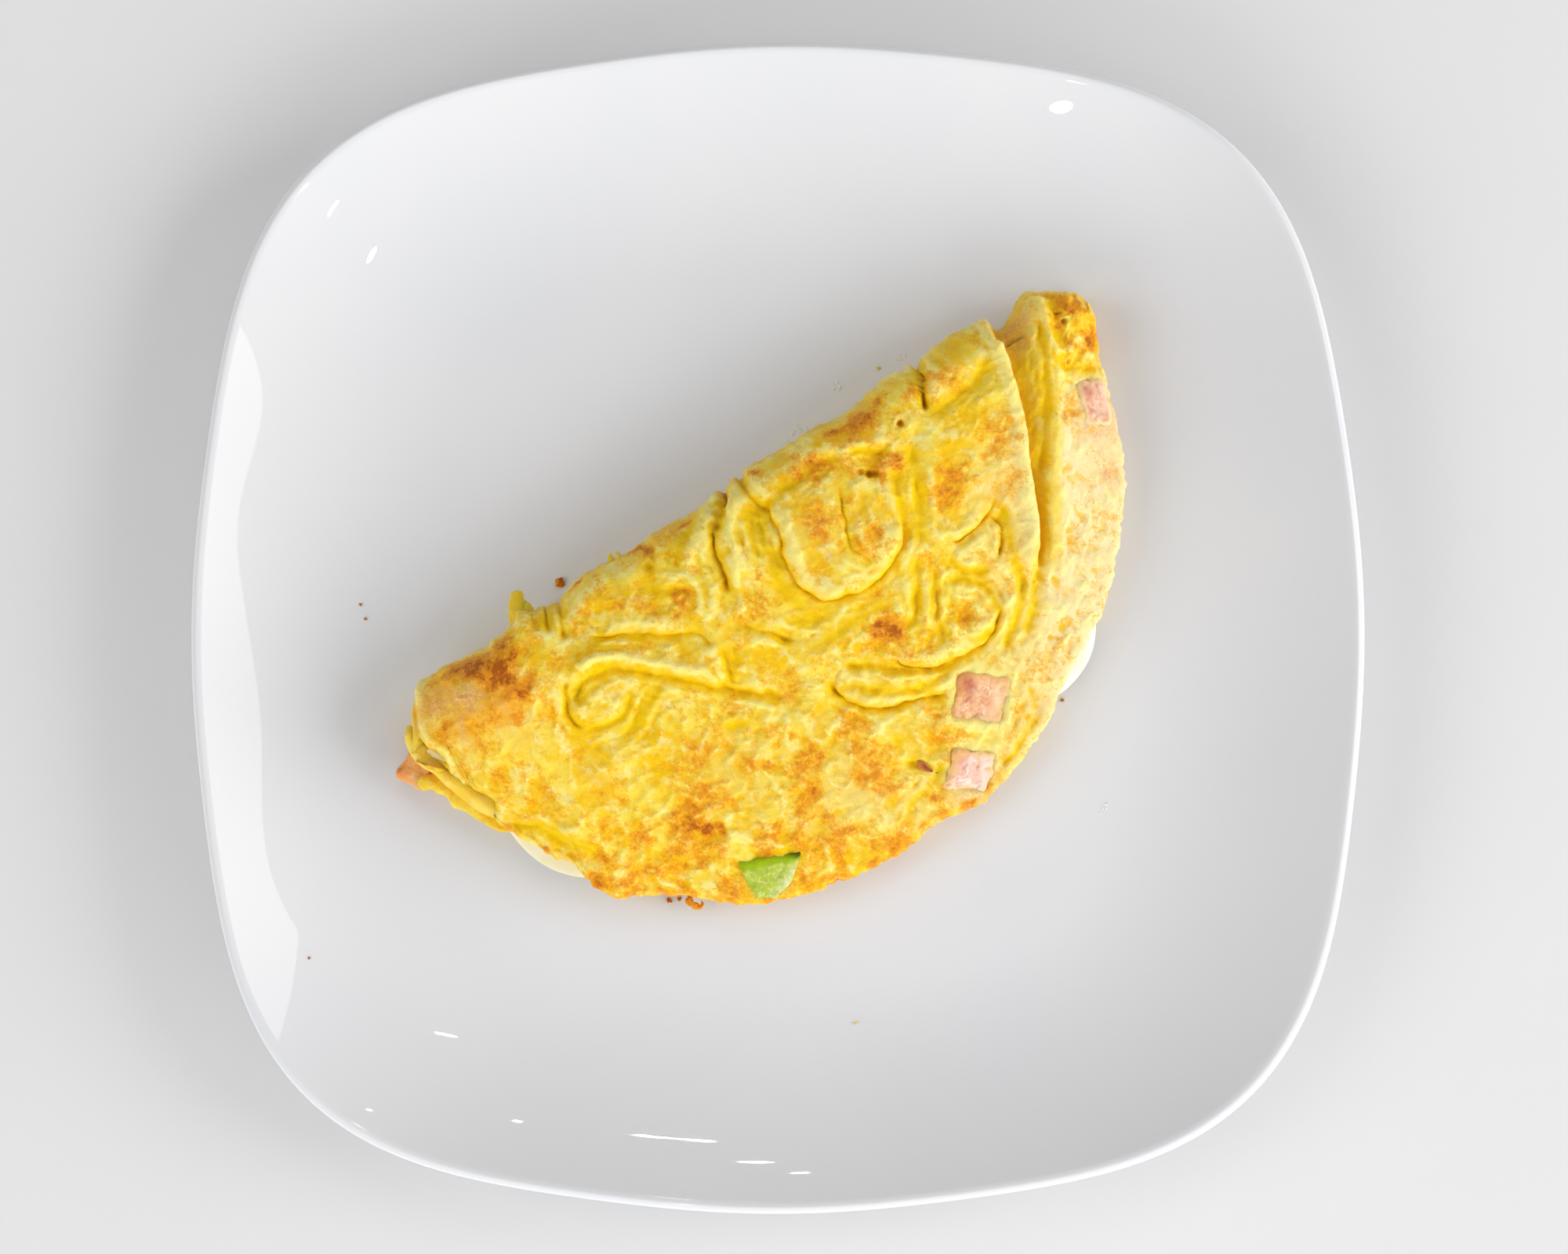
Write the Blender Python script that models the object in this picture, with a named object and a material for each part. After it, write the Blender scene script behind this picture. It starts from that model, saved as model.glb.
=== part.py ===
"""A folded omelette with ham, green pepper and sliced cheese, lying on a rounded-square coupe plate.

Metres, +Z up. The origin is the middle of the plate's foot, where the plate stands on the table.
The omelette has its own flat axes: X runs along its straight folded side, and the round open side
is towards -Y. place() turns a point of those axes to its place on the plate.
"""

import math

import bmesh
import bpy
from mathutils import Matrix, Vector

MM = 0.001
CLEARANCE = 0.3 * MM

# Plate
PLATE_HALF_WIDTH = 130 * MM
PLATE_SQUARENESS = 3.11
PLATE_SWELL = 0.0083
WELL_SHARE = 0.62
WELL_HEIGHT = 7.5 * MM
RIM_HEIGHT = 21 * MM
PLATE_THICKNESS = 4.5 * MM
LIP_THICKNESS = 3.4 * MM
FOOT_OUTER_SHARE = 0.635
FOOT_WIDTH_SHARE = 0.045
FOOT_CHAMFER = 0.5 * MM
PLATE_SEGMENTS = 64

# Omelette, on the plate
OMELETTE_TURN = math.radians(33.9)
OMELETTE_CENTRE = Vector((-12.9 * MM, 28.8 * MM, 0))
FOLD_HALF_LENGTH = 93 * MM
ARC_RADIUS = 91 * MM
ARC_END_ANGLE = math.radians(84)
FOLD_THICKNESS = 21 * MM
TIP_THICKNESS = 14 * MM
EDGE_THICKNESS = 8 * MM
NOSE_RADIUS = 9 * MM
LOWER_LEAF = 3.4 * MM
MOUTH_GAP = 0.9 * MM
MOUTH_DEPTH = 9 * MM
RIM_ROUNDING = 2.2 * MM
FOLD_RAMP = 10 * MM
TIP_CUT_SHARE = 0.972
EGG_COLUMNS = 62
TOP_ROWS = 24
BOTTOM_ROWS = 5
NOSE_ROWS = 7

# Fillings
EDGE_WEAR = 0.6 * MM
CHEESE_THICKNESS = 2.2 * MM
CHEESE_DROOP = 2.4 * MM
CHEESE_SEGMENTS = 32
CHEESE_POCKET_CLEARANCE = 0.55 * MM
CHEESE_LIFT = 1.2 * MM

# Folds of the omelette's skin: the points each one follows, in mm in the omelette's axes, then
# its depth and width in mm and how much higher its left bank stands than its right one.
FOLDS = {
    "overlap": ([(73, 2), (70, -17), (64, -33), (56, -48), (51, -58)], 3.6, 5.2, -1.2),
    "tongue": ([(9, -10), (4, -25), (8, -34), (20, -37), (30, -32)], 1.6, 2.4, 1.8),
    "ear": ([(2, -2), (-6, -12), (-10, -24), (-12, -29)], 1.8, 2.2, 0),
    "wave": ([(-45, -11), (-30, -18), (-20, -28), (-22, -38)], 1.2, 2.2, 0.6),
    "curl": ([(-51, -17), (-42, -19), (-30, -31), (-15, -44)], 1.2, 2.2, -0.6),
    "crescent": ([(-2, -52), (3, -60), (11, -63), (20, -66)], 1.5, 2.4, 0.5),
    "hook": ([(12, -54), (23, -60), (34, -60), (39, -54)], 1.2, 2.2, 0.5),
}


def smooth_step(value):
    """0 below 0, 1 above 1, and a smooth rise between them."""
    value = min(1.0, max(0.0, value))
    return value * value * (3 - 2 * value)


def bump(value, centre, width):
    """A bell of height 1."""
    return math.exp(-(((value - centre) / width) ** 2))


# ---------------------------------------------------------------- scene and mesh helpers


def clear_scene():
    for obj in list(bpy.data.objects):
        bpy.data.objects.remove(obj)


def new_collection(name):
    collection = bpy.data.collections.new(name)
    bpy.context.scene.collection.children.link(collection)
    return collection


def material(name, colour, roughness):
    made = bpy.data.materials.new(name)
    made.use_nodes = True
    shader = made.node_tree.nodes["Principled BSDF"]
    shader.inputs["Base Color"].default_value = (*colour, 1)
    shader.inputs["Roughness"].default_value = roughness
    shader.inputs["Metallic"].default_value = 0
    return made


def finish_object(name, mesh_data, collection, finish):
    bmesh.ops.recalc_face_normals(mesh_data, faces=mesh_data.faces)
    mesh = bpy.data.meshes.new(name)
    mesh_data.to_mesh(mesh)
    mesh_data.free()
    mesh.shade_smooth()
    mesh.set_sharp_from_angle(angle=math.radians(40))
    mesh.materials.append(finish)
    obj = bpy.data.objects.new(name, mesh)
    collection.objects.link(obj)
    return obj


def loft(name, rings, collection, finish, end_centres=(None, None)):
    """A closed body through rings of equal length.

    An end with a centre closes as a fan, and one without as a flat cap.
    """
    body = bmesh.new()
    levels = [[body.verts.new(point) for point in ring] for ring in rings]
    count = len(levels[0])
    for lower, upper in zip(levels, levels[1:]):
        for i in range(count):
            j = (i + 1) % count
            body.faces.new((lower[i], lower[j], upper[j], upper[i]))
    for level, centre in ((levels[0], end_centres[0]), (levels[-1], end_centres[1])):
        if centre is None:
            body.faces.new(level)
            continue
        middle = body.verts.new(centre)
        for i in range(count):
            body.faces.new((level[i], level[(i + 1) % count], middle))
    return finish_object(name, body, collection, finish)


def cut(body, cutter):
    modifier = body.modifiers.new("cut_" + cutter.name, "BOOLEAN")
    modifier.operation = "DIFFERENCE"
    modifier.object = cutter
    cutter.hide_render = True
    cutter.display_type = "WIRE"


# ---------------------------------------------------------------- plate


def outline_reach(angle):
    """The plate's outline for a half width of 1: a superellipse with slightly drawn-in shoulders."""
    c, s = abs(math.cos(angle)), abs(math.sin(angle))
    superellipse = (c**PLATE_SQUARENESS + s**PLATE_SQUARENESS) ** (-1 / PLATE_SQUARENESS)
    return superellipse * (1 - PLATE_SWELL * (1 - math.cos(8 * angle)))


def rounded_square(half_width, height, segments):
    """A ring of points on the plate's outline, at any level."""
    ring = []
    for i in range(segments):
        angle = 2 * math.pi * i / segments
        reach = half_width * outline_reach(angle)
        ring.append(Vector((reach * math.cos(angle), reach * math.sin(angle), height)))
    return ring


def plate_share(x, y):
    """How far out a point lies, from 0 at the plate's middle to 1 at its rim."""
    return math.hypot(x, y) / (PLATE_HALF_WIDTH * outline_reach(math.atan2(y, x)))


def plate_height(share):
    """The plate's upper surface: a flat well, then a coupe side that steepens to the rim."""
    climb = max(0.0, (share - WELL_SHARE) / (1 - WELL_SHARE))
    return WELL_HEIGHT + (RIM_HEIGHT - WELL_HEIGHT) * climb**2


def plate_top_at(point):
    return plate_height(plate_share(point.x, point.y))


def build_plate(collection, finish):
    lip_share = LIP_THICKNESS / 2 / PLATE_HALF_WIDTH
    inner_edge = 1 - lip_share
    profile = [(share, plate_height(share)) for share in (0.3, WELL_SHARE, 0.69, 0.76, 0.83, 0.89, 0.94)]
    lip_middle = plate_height(inner_edge) - LIP_THICKNESS / 2
    for step in range(5):
        angle = math.radians(90 - 45 * step)
        out = inner_edge + lip_share * math.cos(angle)
        profile.append((out, lip_middle + LIP_THICKNESS / 2 * math.sin(angle)))
    for share in (0.92, 0.86, 0.8, 0.73, 0.67):
        thickness = LIP_THICKNESS + (PLATE_THICKNESS - LIP_THICKNESS) * (1 - share)
        profile.append((share, plate_height(share) - thickness))
    hollow = WELL_HEIGHT - PLATE_THICKNESS
    chamfer = FOOT_CHAMFER / PLATE_HALF_WIDTH
    foot_inner = FOOT_OUTER_SHARE - FOOT_WIDTH_SHARE
    profile += [
        (FOOT_OUTER_SHARE + chamfer, hollow),
        (FOOT_OUTER_SHARE, FOOT_CHAMFER),
        (FOOT_OUTER_SHARE - chamfer, 0),
        (foot_inner + chamfer, 0),
        (foot_inner, FOOT_CHAMFER),
        (foot_inner - chamfer, hollow),
    ]
    rings = [rounded_square(PLATE_HALF_WIDTH * share, height, PLATE_SEGMENTS) for share, height in profile]
    centres = (Vector((0, 0, WELL_HEIGHT)), Vector((0, 0, hollow)))
    return loft("plate", rings, collection, finish, centres)


# ---------------------------------------------------------------- omelette


def place(x, y, height):
    """A point of the omelette's axes, at a height over the plate, as a point on the plate."""
    c, s = math.cos(OMELETTE_TURN), math.sin(OMELETTE_TURN)
    point = OMELETTE_CENTRE + Vector((x * c - y * s, x * s + y * c, 0))
    point.z = plate_top_at(point) + height
    return point


def fold_edge(x):
    """The straight folded side, with a torn tuft near its left end and both ends falling away."""
    x = x / MM
    y = -0.3 - 0.02 * x + 0.5 * math.sin(x / 7) + 0.4 * math.sin(x / 3.1)
    y += 5.5 * bump(x, -48, 4.5)
    y -= 11 * max(0.0, (-79 - x) / 14)
    y -= 6 * max(0.0, (x - 80) / 13) ** 1.2
    return y * MM


def arc_radius(angle):
    """The round open side's radius, with the swells of a hand-poured edge. The angle is 0 towards -Y."""
    degrees = math.degrees(angle)
    swell = 1.8 * bump(degrees, -80, 4) - 2.9 * bump(degrees, -61, 6) + 2.2 * bump(degrees, -47.5, 3)
    swell += 1.4 * bump(degrees, -27, 10) - 1.9 * bump(degrees, -1, 4) + 0.7 * bump(degrees, 8, 4)
    swell += 0.8 * bump(degrees, 58, 6) - 2.1 * bump(degrees, 29, 7) + 2.8 * bump(degrees, 82, 5)
    return ARC_RADIUS + swell * MM


def fold_offset(x, y, points):
    """The distance to a fold's line, positive on its left bank, and how far along it that is, 0 to 1."""
    best = (1e9, 0.0, 0.0)
    spans = len(points) - 1
    for i in range(spans):
        ax, ay = points[i]
        dx, dy = points[i + 1][0] - ax, points[i + 1][1] - ay
        along = min(1.0, max(0.0, ((x - ax) * dx + (y - ay) * dy) / (dx * dx + dy * dy)))
        px, py = x - ax - along * dx, y - ay - along * dy
        distance = math.hypot(px, py)
        if distance < best[0]:
            best = (distance, math.copysign(distance, dx * py - dy * px), (i + along) / spans)
    return best[1], best[2]


def relief(x, y):
    """The folds in the upper leaf, as a change of height in mm."""
    height = 3.5 * bump(math.hypot(x + 69, y + 11), 0, 13)
    height += 2.0 * bump(math.hypot(x - 18, y + 22), 0, 16)
    for points, depth, width, bank in FOLDS.values():
        offset, along = fold_offset(x, y, points)
        fade = smooth_step(along / 0.15) * smooth_step((1 - along) / 0.15)
        height -= fade * depth * bump(offset, 0, width)
        height += fade * bank * math.tanh(offset / width) * bump(offset, 0, 3 * width)
    return height


def column_line(share):
    """The fold end and the open end of one cross-section.

    share runs from -1 at the left tip to 1 at the right one.
    """
    x = FOLD_HALF_LENGTH * share
    start = Vector((x, fold_edge(x), 0))
    angle = ARC_END_ANGLE * share
    radius = arc_radius(angle)
    return start, Vector((radius * math.sin(angle), -radius * math.cos(angle), 0))


def top_height(point, inward, length, share):
    """Height of the upper leaf over the plate. inward is the distance from the folded side."""
    body = TIP_THICKNESS + (FOLD_THICKNESS - TIP_THICKNESS) * smooth_step((1 - abs(share)) / 0.45)
    fall = min(1.0, max(0.0, (inward - FOLD_RAMP) / max(length - FOLD_RAMP, 1 * MM)))
    degrees = math.degrees(ARC_END_ANGLE * share)
    edge = EDGE_THICKNESS + CHEESE_LIFT * (bump(degrees, -58, 11) + bump(degrees, 31, 9))
    height = body + (edge - body) * fall**1.8
    blunt = min(1.0, length / (16 * MM))
    height *= 0.45 + 0.55 * math.sqrt(1 - (1 - blunt) ** 2)
    calm = smooth_step(inward / (8 * MM)) * smooth_step((length - inward) / (8 * MM))
    return height + calm * relief(point.x / MM, point.y / MM) * MM


def section(share):
    """One closed cross-section: under the lower leaf, round the fold and back over the upper leaf.

    It ends with the mouth, the slit between the two leaves at the open side.
    """
    start, end = column_line(share)
    run = end - start
    length = run.length
    nose = min(NOSE_RADIUS, 0.45 * length)
    mouth = min(MOUTH_DEPTH, 0.4 * length)
    edge = min(RIM_ROUNDING, 0.2 * length)

    def at(inward, height):
        point = start + run * (inward / length)
        return place(point.x, point.y, height + CLEARANCE)

    def top(inward):
        return top_height(start + run * (inward / length), inward, length, share)

    ring = []
    for i in range(BOTTOM_ROWS):
        ring.append(at(length - edge - (length - edge - nose) * i / BOTTOM_ROWS, 0))
    nose_top = top(nose)
    for i in range(NOSE_ROWS):
        angle = math.pi * i / NOSE_ROWS
        ring.append(at(nose - nose * math.sin(angle), nose_top / 2 * (1 - math.cos(angle))))
    for i in range(TOP_ROWS + 1):
        inward = nose + (length - edge - nose) * i / TOP_ROWS
        ring.append(at(inward, top(inward)))
    rim = top(length - edge)
    gap = min(MOUTH_GAP, 0.15 * rim)
    seam = min(LOWER_LEAF, 0.42 * rim)
    ring.append(at(length - 0.35 * edge, rim - 0.25 * (rim - seam)))
    ring.append(at(length, seam + gap + 0.35 * (rim - seam - gap)))
    ring.append(at(length - 0.3 * edge, seam + gap))
    ring.append(at(length - mouth, seam + gap))
    ring.append(at(length - mouth, seam))
    ring.append(at(length - 0.5 * edge, seam))
    ring.append(at(length - 0.1 * edge, 0.55 * seam))
    return ring


def build_egg(collection, finish):
    shares = [TIP_CUT_SHARE * (2 * i / EGG_COLUMNS - 1) for i in range(EGG_COLUMNS + 1)]
    return loft("egg", [section(share) for share in shares], collection, finish)


# ---------------------------------------------------------------- cheese


def cheese_bottom(x, y):
    """The underside of a slice, which lies on the lower leaf and droops where it leaves it."""
    edge = arc_radius(math.atan2(x, -y)) - 2.5 * MM
    return LOWER_LEAF + CLEARANCE - CHEESE_DROOP * smooth_step((math.hypot(x, y) - edge) / (6 * MM))


def cheese_slice(name, spec, collection, finish, grow=0.0):
    """A soft square slice with rounded corners. grow enlarges it, for the pocket that it lies in."""
    (x, y), turn, half, corner = spec
    c, s = math.cos(math.radians(turn)), math.sin(math.radians(turn))
    outline = []
    for i in range(CHEESE_SEGMENTS):
        angle = 2 * math.pi * (i + 0.5) / CHEESE_SEGMENTS
        corner_x = math.copysign(half - corner, math.cos(angle))
        corner_y = math.copysign(half - corner, math.sin(angle))
        reach = corner + grow / MM
        outline.append((corner_x + reach * math.cos(angle), corner_y + reach * math.sin(angle)))

    def ring(share, upper):
        points = []
        for a, b in outline:
            px, py = (x + share * (a * c - b * s)) * MM, (y + share * (a * s + b * c)) * MM
            height = cheese_bottom(px, py) + CLEARANCE
            points.append(place(px, py, height + (CHEESE_THICKNESS + grow if upper else -grow)))
        return points

    shares = (0.3, 0.6, 0.8, 0.92, 1)
    rings = [ring(share, False) for share in shares] + [ring(share, True) for share in reversed(shares)]
    middle = place(x * MM, y * MM, cheese_bottom(x * MM, y * MM) + CLEARANCE)
    centres = (middle - Vector((0, 0, grow)), middle + Vector((0, 0, CHEESE_THICKNESS + grow)))
    return loft(name, rings, collection, finish, centres)


# ---------------------------------------------------------------- ham and pepper


def lie(turn, tip):
    """A piece turned about its own upright, then tipped about the omelette's X and Y, all in degrees."""
    tipped = Matrix.Rotation(math.radians(tip[0]), 4, "X") @ Matrix.Rotation(math.radians(tip[1]), 4, "Y")
    return Matrix.Rotation(OMELETTE_TURN, 4, "Z") @ tipped @ Matrix.Rotation(math.radians(turn), 4, "Z")


def diced(name, spec, collection, finish, grow=0.0):
    """A piece of ham: a box with worn edges, set at a height over the plate and tipped as it lies."""
    (x, y, z), turn, tip, size = spec
    body = bmesh.new()
    bmesh.ops.create_cube(body, size=1)
    bmesh.ops.scale(body, verts=body.verts, vec=[side * MM + 2 * grow for side in size])
    bmesh.ops.bevel(body, geom=body.edges, offset=EDGE_WEAR, segments=2, profile=0.5, affect="EDGES")
    bmesh.ops.transform(body, matrix=lie(turn, tip), verts=body.verts)
    bmesh.ops.translate(body, verts=body.verts, vec=place(x * MM, y * MM, z * MM))
    return finish_object(name, body, collection, finish)


def pepper_piece(name, spec, collection, finish, grow=0.0):
    """A flake of pepper: a fan of flesh under its straight rim of skin."""
    (x, y, z), turn, tip, thickness = spec
    outline = [(-7.2, 4.4), (7.6, 5.2), (5.2, -1.6), (0.6, -5.2), (-3.6, -4.8), (-5.6, -1)]
    middle = sum(x for x, _ in outline) / len(outline), sum(y for _, y in outline) / len(outline)
    levels = []
    for level, inset in ((-0.5, 0.85), (-0.3, 1), (0.3, 1), (0.5, 0.88)):
        ring = []
        for a, b in outline:
            wide = 1 + grow / (6 * MM)
            px = middle[0] + (a - middle[0]) * inset * wide
            py = middle[1] + (b - middle[1]) * inset * wide
            ring.append(Vector((px * MM, py * MM, level * (thickness * MM + 2 * grow))))
        levels.append(ring)
    base = place(x * MM, y * MM, z * MM)
    levels = [[lie(turn, tip) @ point + base for point in ring] for ring in levels]
    return loft(name, levels, collection, finish)


# Each slice: middle in mm, turn in degrees, half its side and its corner's radius in mm.
CHEESE_SLICES = {
    "cheese_left": ((-50.9, -34.3), -20, 28, 22),
    "cheese_right": ((28, -44.6), -15, 33, 18.5),
}
# Each piece of ham: middle and height over the plate in mm, turn, tip about its own X and Y in
# degrees, and its three sides in mm.
HAM = {
    "ham_square": ((22.6, -71.9, 10.7), -41, (14, 2), (11.2, 9.8, 4.4)),
    "ham_edge": ((11.6, -83.2, 8.4), -40, (17, 2), (9.2, 9, 4)),
    "ham_side": ((79.6, -31.6, 10.6), -28, (18, 30), (8, 10, 4.6)),
    "ham_sliver": ((4.4, -76.8, 10.8), -62, (15, 0), (5, 2.2, 2.6)),
    "ham_tip": ((-89, -13.2, 4.4), 25, (0, 0), (9.4, 7, 5)),
}
PEPPER = {"pepper": ((-37.4, -78, 8.9), -28, (14, -6), 3)}


def main():
    clear_scene()
    parts = new_collection("omelette_on_plate")
    cutters = new_collection("cutters")
    porcelain = material("porcelain", (0.86, 0.86, 0.87), 0.12)
    cooked_egg = material("cooked_egg", (0.93, 0.68, 0.13), 0.5)
    cheese = material("cheese", (0.93, 0.88, 0.66), 0.4)
    ham = material("ham", (0.82, 0.48, 0.36), 0.45)
    pepper = material("pepper", (0.44, 0.6, 0.1), 0.35)

    build_plate(parts, porcelain)
    egg = build_egg(parts, cooked_egg)
    for maker, pieces, finish, clearance in (
        (cheese_slice, CHEESE_SLICES, cheese, CHEESE_POCKET_CLEARANCE),
        (diced, HAM, ham, CLEARANCE),
        (pepper_piece, PEPPER, pepper, CLEARANCE),
    ):
        for name, spec in pieces.items():
            maker(name, spec, parts, finish)
            cut(egg, maker(name + "_pocket", spec, cutters, finish, grow=clearance))


main()
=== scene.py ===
"""The looks of a folded omelette on its plate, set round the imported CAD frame.

Shapes are worked out in millimetres and become metres in make_piece(). The omelette has its own
flat axes, as in the CAD: X along its straight folded side, -Y towards its round open side.
place() turns a point of those axes, with a height over the plate, to its place on the plate.
"""

import math

import bmesh
import bpy
import numpy as np
from mathutils import Matrix, Vector, noise as solid


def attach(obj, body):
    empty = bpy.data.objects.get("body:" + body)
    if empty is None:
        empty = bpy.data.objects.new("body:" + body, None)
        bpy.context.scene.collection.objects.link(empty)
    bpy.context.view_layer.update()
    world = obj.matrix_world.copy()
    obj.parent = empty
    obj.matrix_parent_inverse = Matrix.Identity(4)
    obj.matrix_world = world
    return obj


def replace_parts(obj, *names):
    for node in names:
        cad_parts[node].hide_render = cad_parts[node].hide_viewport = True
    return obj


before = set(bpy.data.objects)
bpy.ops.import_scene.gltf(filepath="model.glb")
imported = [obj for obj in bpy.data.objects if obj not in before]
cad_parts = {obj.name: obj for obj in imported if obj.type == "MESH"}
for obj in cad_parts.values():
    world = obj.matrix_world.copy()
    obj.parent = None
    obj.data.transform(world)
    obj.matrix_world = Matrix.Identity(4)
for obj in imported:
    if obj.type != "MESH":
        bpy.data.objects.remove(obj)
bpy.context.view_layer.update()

MM = 0.001
NOISE_CELLS = 64  # after so many lumps noise() repeats
TOUCH_GAP = 0.3  # between the omelette's solids and what they lie on

# Plate, in mm, as in the CAD
PLATE_HALF_WIDTH = 130
PLATE_SQUARENESS = 3.11
PLATE_SWELL = 0.0083
WELL_SHARE = 0.62
WELL_HEIGHT = 7.5
RIM_HEIGHT = 21
PLATE_THICKNESS = 4.5
LIP_THICKNESS = 3.4
FOOT_OUTER_SHARE = 0.635
FOOT_WIDTH_SHARE = 0.045
FOOT_CHAMFER = 0.5

# How finely the plate's outline and the parts of its profile are cut
PLATE_COLUMNS = 288
WELL_RINGS = 16
RIM_RINGS = 44
UNDERSIDE_RINGS = 16
HOLLOW_RINGS = 8

# Omelette, in mm and degrees, as in the CAD
OMELETTE_TURN = 33.9
OMELETTE_CENTRE = (-12.9, 28.8)
FOLD_HALF_LENGTH = 93
ARC_RADIUS = 91
ARC_END_ANGLE = 84
FOLD_THICKNESS = 21
TIP_THICKNESS = 14
EDGE_THICKNESS = 8
NOSE_RADIUS = 9
LOWER_LEAF = 3.4
MOUTH_GAP = 0.9
MOUTH_DEPTH = 9
RIM_ROUNDING = 2.2
CHEESE_LIFT = 1.2
FOLD_RAMP = 10
FIRST_SHARE = -0.97
LAST_SHARE = 0.994
FOLD_SINK = 0.5
FOLD_REACH = 10
RIDGE_WIDENING = 1.5
TOP_LIMIT = 30.9

# How finely the omelette is cut along its fold and round its section
EGG_COLUMNS = 420
TOP_ROWS = 176
BOTTOM_ROWS = 8
NOSE_ROWS = 16
RIM_ROWS = 9
MOUTH_ROWS = 3
LIP_ROWS = 6


# ---------------- numbers


def smooth_step(value, low=0.0, high=1.0):
    """0 below low, 1 above high, and a smooth rise between them."""
    share = np.clip((value - low) / (high - low), 0, 1)
    return share * share * (3 - 2 * share)


def bump(value, centre, width):
    """A bell of height 1."""
    return np.exp(-(((value - centre) / width) ** 2))


def noise(x, y, size, seed):
    """Smooth noise between about -1 and 1 whose lumps are size across."""
    turns = np.random.default_rng(seed).random((NOISE_CELLS, NOISE_CELLS)) * 2 * np.pi
    x, y = np.asarray(x) / size, np.asarray(y) / size
    column, row = np.floor(x).astype(int), np.floor(y).astype(int)
    total = np.zeros(np.broadcast(x, y).shape)
    for i in (0, 1):
        for j in (0, 1):
            away_x, away_y = x - column - i, y - row - j
            turn = turns[(column + i) % NOISE_CELLS, (row + j) % NOISE_CELLS]
            weight = smooth_step(1 - np.abs(away_x)) * smooth_step(1 - np.abs(away_y))
            total += weight * (np.cos(turn) * away_x + np.sin(turn) * away_y)
    return total * 1.6


def wrinkles(x, y, size, seed):
    """A net of thin ridges, 0 between them and 1 on their crests."""
    return (1 - np.clip(np.abs(noise(x, y, size, seed)) * 2.6, 0, 1)) ** 2


def smooth_line(points, steps=4):
    """Points along a smooth curve (Catmull-Rom) through the given ones."""
    known = np.array(points, float)
    padded = np.vstack([2 * known[0] - known[1], known, 2 * known[-1] - known[-2]])
    line = []
    for a, b, c, d in zip(padded, padded[1:], padded[2:], padded[3:]):
        for t in np.linspace(0, 1, steps, endpoint=False):
            line.append(0.5 * (2 * b + (c - a) * t + (2 * a - 5 * b + 4 * c - d) * t**2
                               + (3 * b - a - 3 * c + d) * t**3))
    return np.array(line + [known[-1]])


def turned(x, y, degrees):
    """Points turned about the origin of a plane."""
    c, s = math.cos(math.radians(degrees)), math.sin(math.radians(degrees))
    return x * c - y * s, x * s + y * c


def line_offset(x, y, line):
    """The distance to a line, positive on its left, and how far along it that is, 0 to 1."""
    nearest = np.full(x.shape, np.inf)
    side = np.ones(x.shape)
    along = np.zeros(x.shape)
    spans = len(line) - 1
    for i, ((ax, ay), (bx, by)) in enumerate(zip(line, line[1:])):
        dx, dy = bx - ax, by - ay
        t = np.clip(((x - ax) * dx + (y - ay) * dy) / (dx * dx + dy * dy + 1e-12), 0, 1)
        px, py = x - ax - t * dx, y - ay - t * dy
        distance = np.hypot(px, py)
        closer = distance < nearest
        nearest = np.where(closer, distance, nearest)
        side = np.where(closer, np.where(dx * py - dy * px >= 0, 1.0, -1.0), side)
        along = np.where(closer, (i + t) / spans, along)
    return nearest * side, along


def blurred(field, reach):
    """A grid's running mean over 2 * reach + 1 cells each way."""
    width = 2 * reach + 1
    for axis in (0, 1):
        count = field.shape[axis]
        first, last = np.take(field, [0], axis), np.take(field, [-1], axis)
        total = np.cumsum(np.concatenate([first] * (reach + 1) + [field] + [last] * reach, axis), axis)
        upper, lower = (np.take(total, range(start, start + count), axis) for start in (width, 0))
        field = (upper - lower) / width
    return field


# ---------------- plate and omelette axes


def outline_reach(angle):
    """The plate's outline for a half width of 1."""
    c, s = np.abs(np.cos(angle)), np.abs(np.sin(angle))
    superellipse = (c**PLATE_SQUARENESS + s**PLATE_SQUARENESS) ** (-1 / PLATE_SQUARENESS)
    return superellipse * (1 - PLATE_SWELL * (1 - np.cos(8 * angle)))


def plate_height(share):
    """The plate's upper surface at a share of the way from its middle to its rim."""
    climb = np.maximum(0, (share - WELL_SHARE) / (1 - WELL_SHARE))
    return WELL_HEIGHT + (RIM_HEIGHT - WELL_HEIGHT) * climb**2


def place(x, y, height):
    """Points of the omelette's axes, at heights over the plate, as points on the plate."""
    px, py = turned(x, y, OMELETTE_TURN)
    px, py = px + OMELETTE_CENTRE[0], py + OMELETTE_CENTRE[1]
    share = np.hypot(px, py) / (PLATE_HALF_WIDTH * outline_reach(np.arctan2(py, px)))
    return np.stack([px, py, plate_height(share) + height], -1)


# ---------------- meshes


def make_piece(name, points, faces, finish, attributes=None):
    """A smooth-shaded mesh from points in mm, which rides on the body."""
    mesh = bpy.data.meshes.new(name)
    mesh.from_pydata(np.asarray(points, float) * MM, [], faces)
    for key, values in (attributes or {}).items():
        mesh.attributes.new(key, "FLOAT", "POINT").data.foreach_set("value", np.ravel(values))
    shell = bmesh.new()
    shell.from_mesh(mesh)
    bmesh.ops.recalc_face_normals(shell, faces=shell.faces)
    shell.to_mesh(mesh)
    shell.free()
    mesh.shade_smooth()
    mesh.materials.append(finish)
    piece = bpy.data.objects.new(name, mesh)
    bpy.context.scene.collection.objects.link(piece)
    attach(piece, "root")
    return piece


def ring_faces(rings, count):
    """Quads between open rows of count points each, and from the last row back to the first."""
    return [
        (i * count + j, i * count + j + 1, (i + 1) % rings * count + j + 1, (i + 1) % rings * count + j)
        for i in range(rings)
        for j in range(count - 1)
    ]


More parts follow.
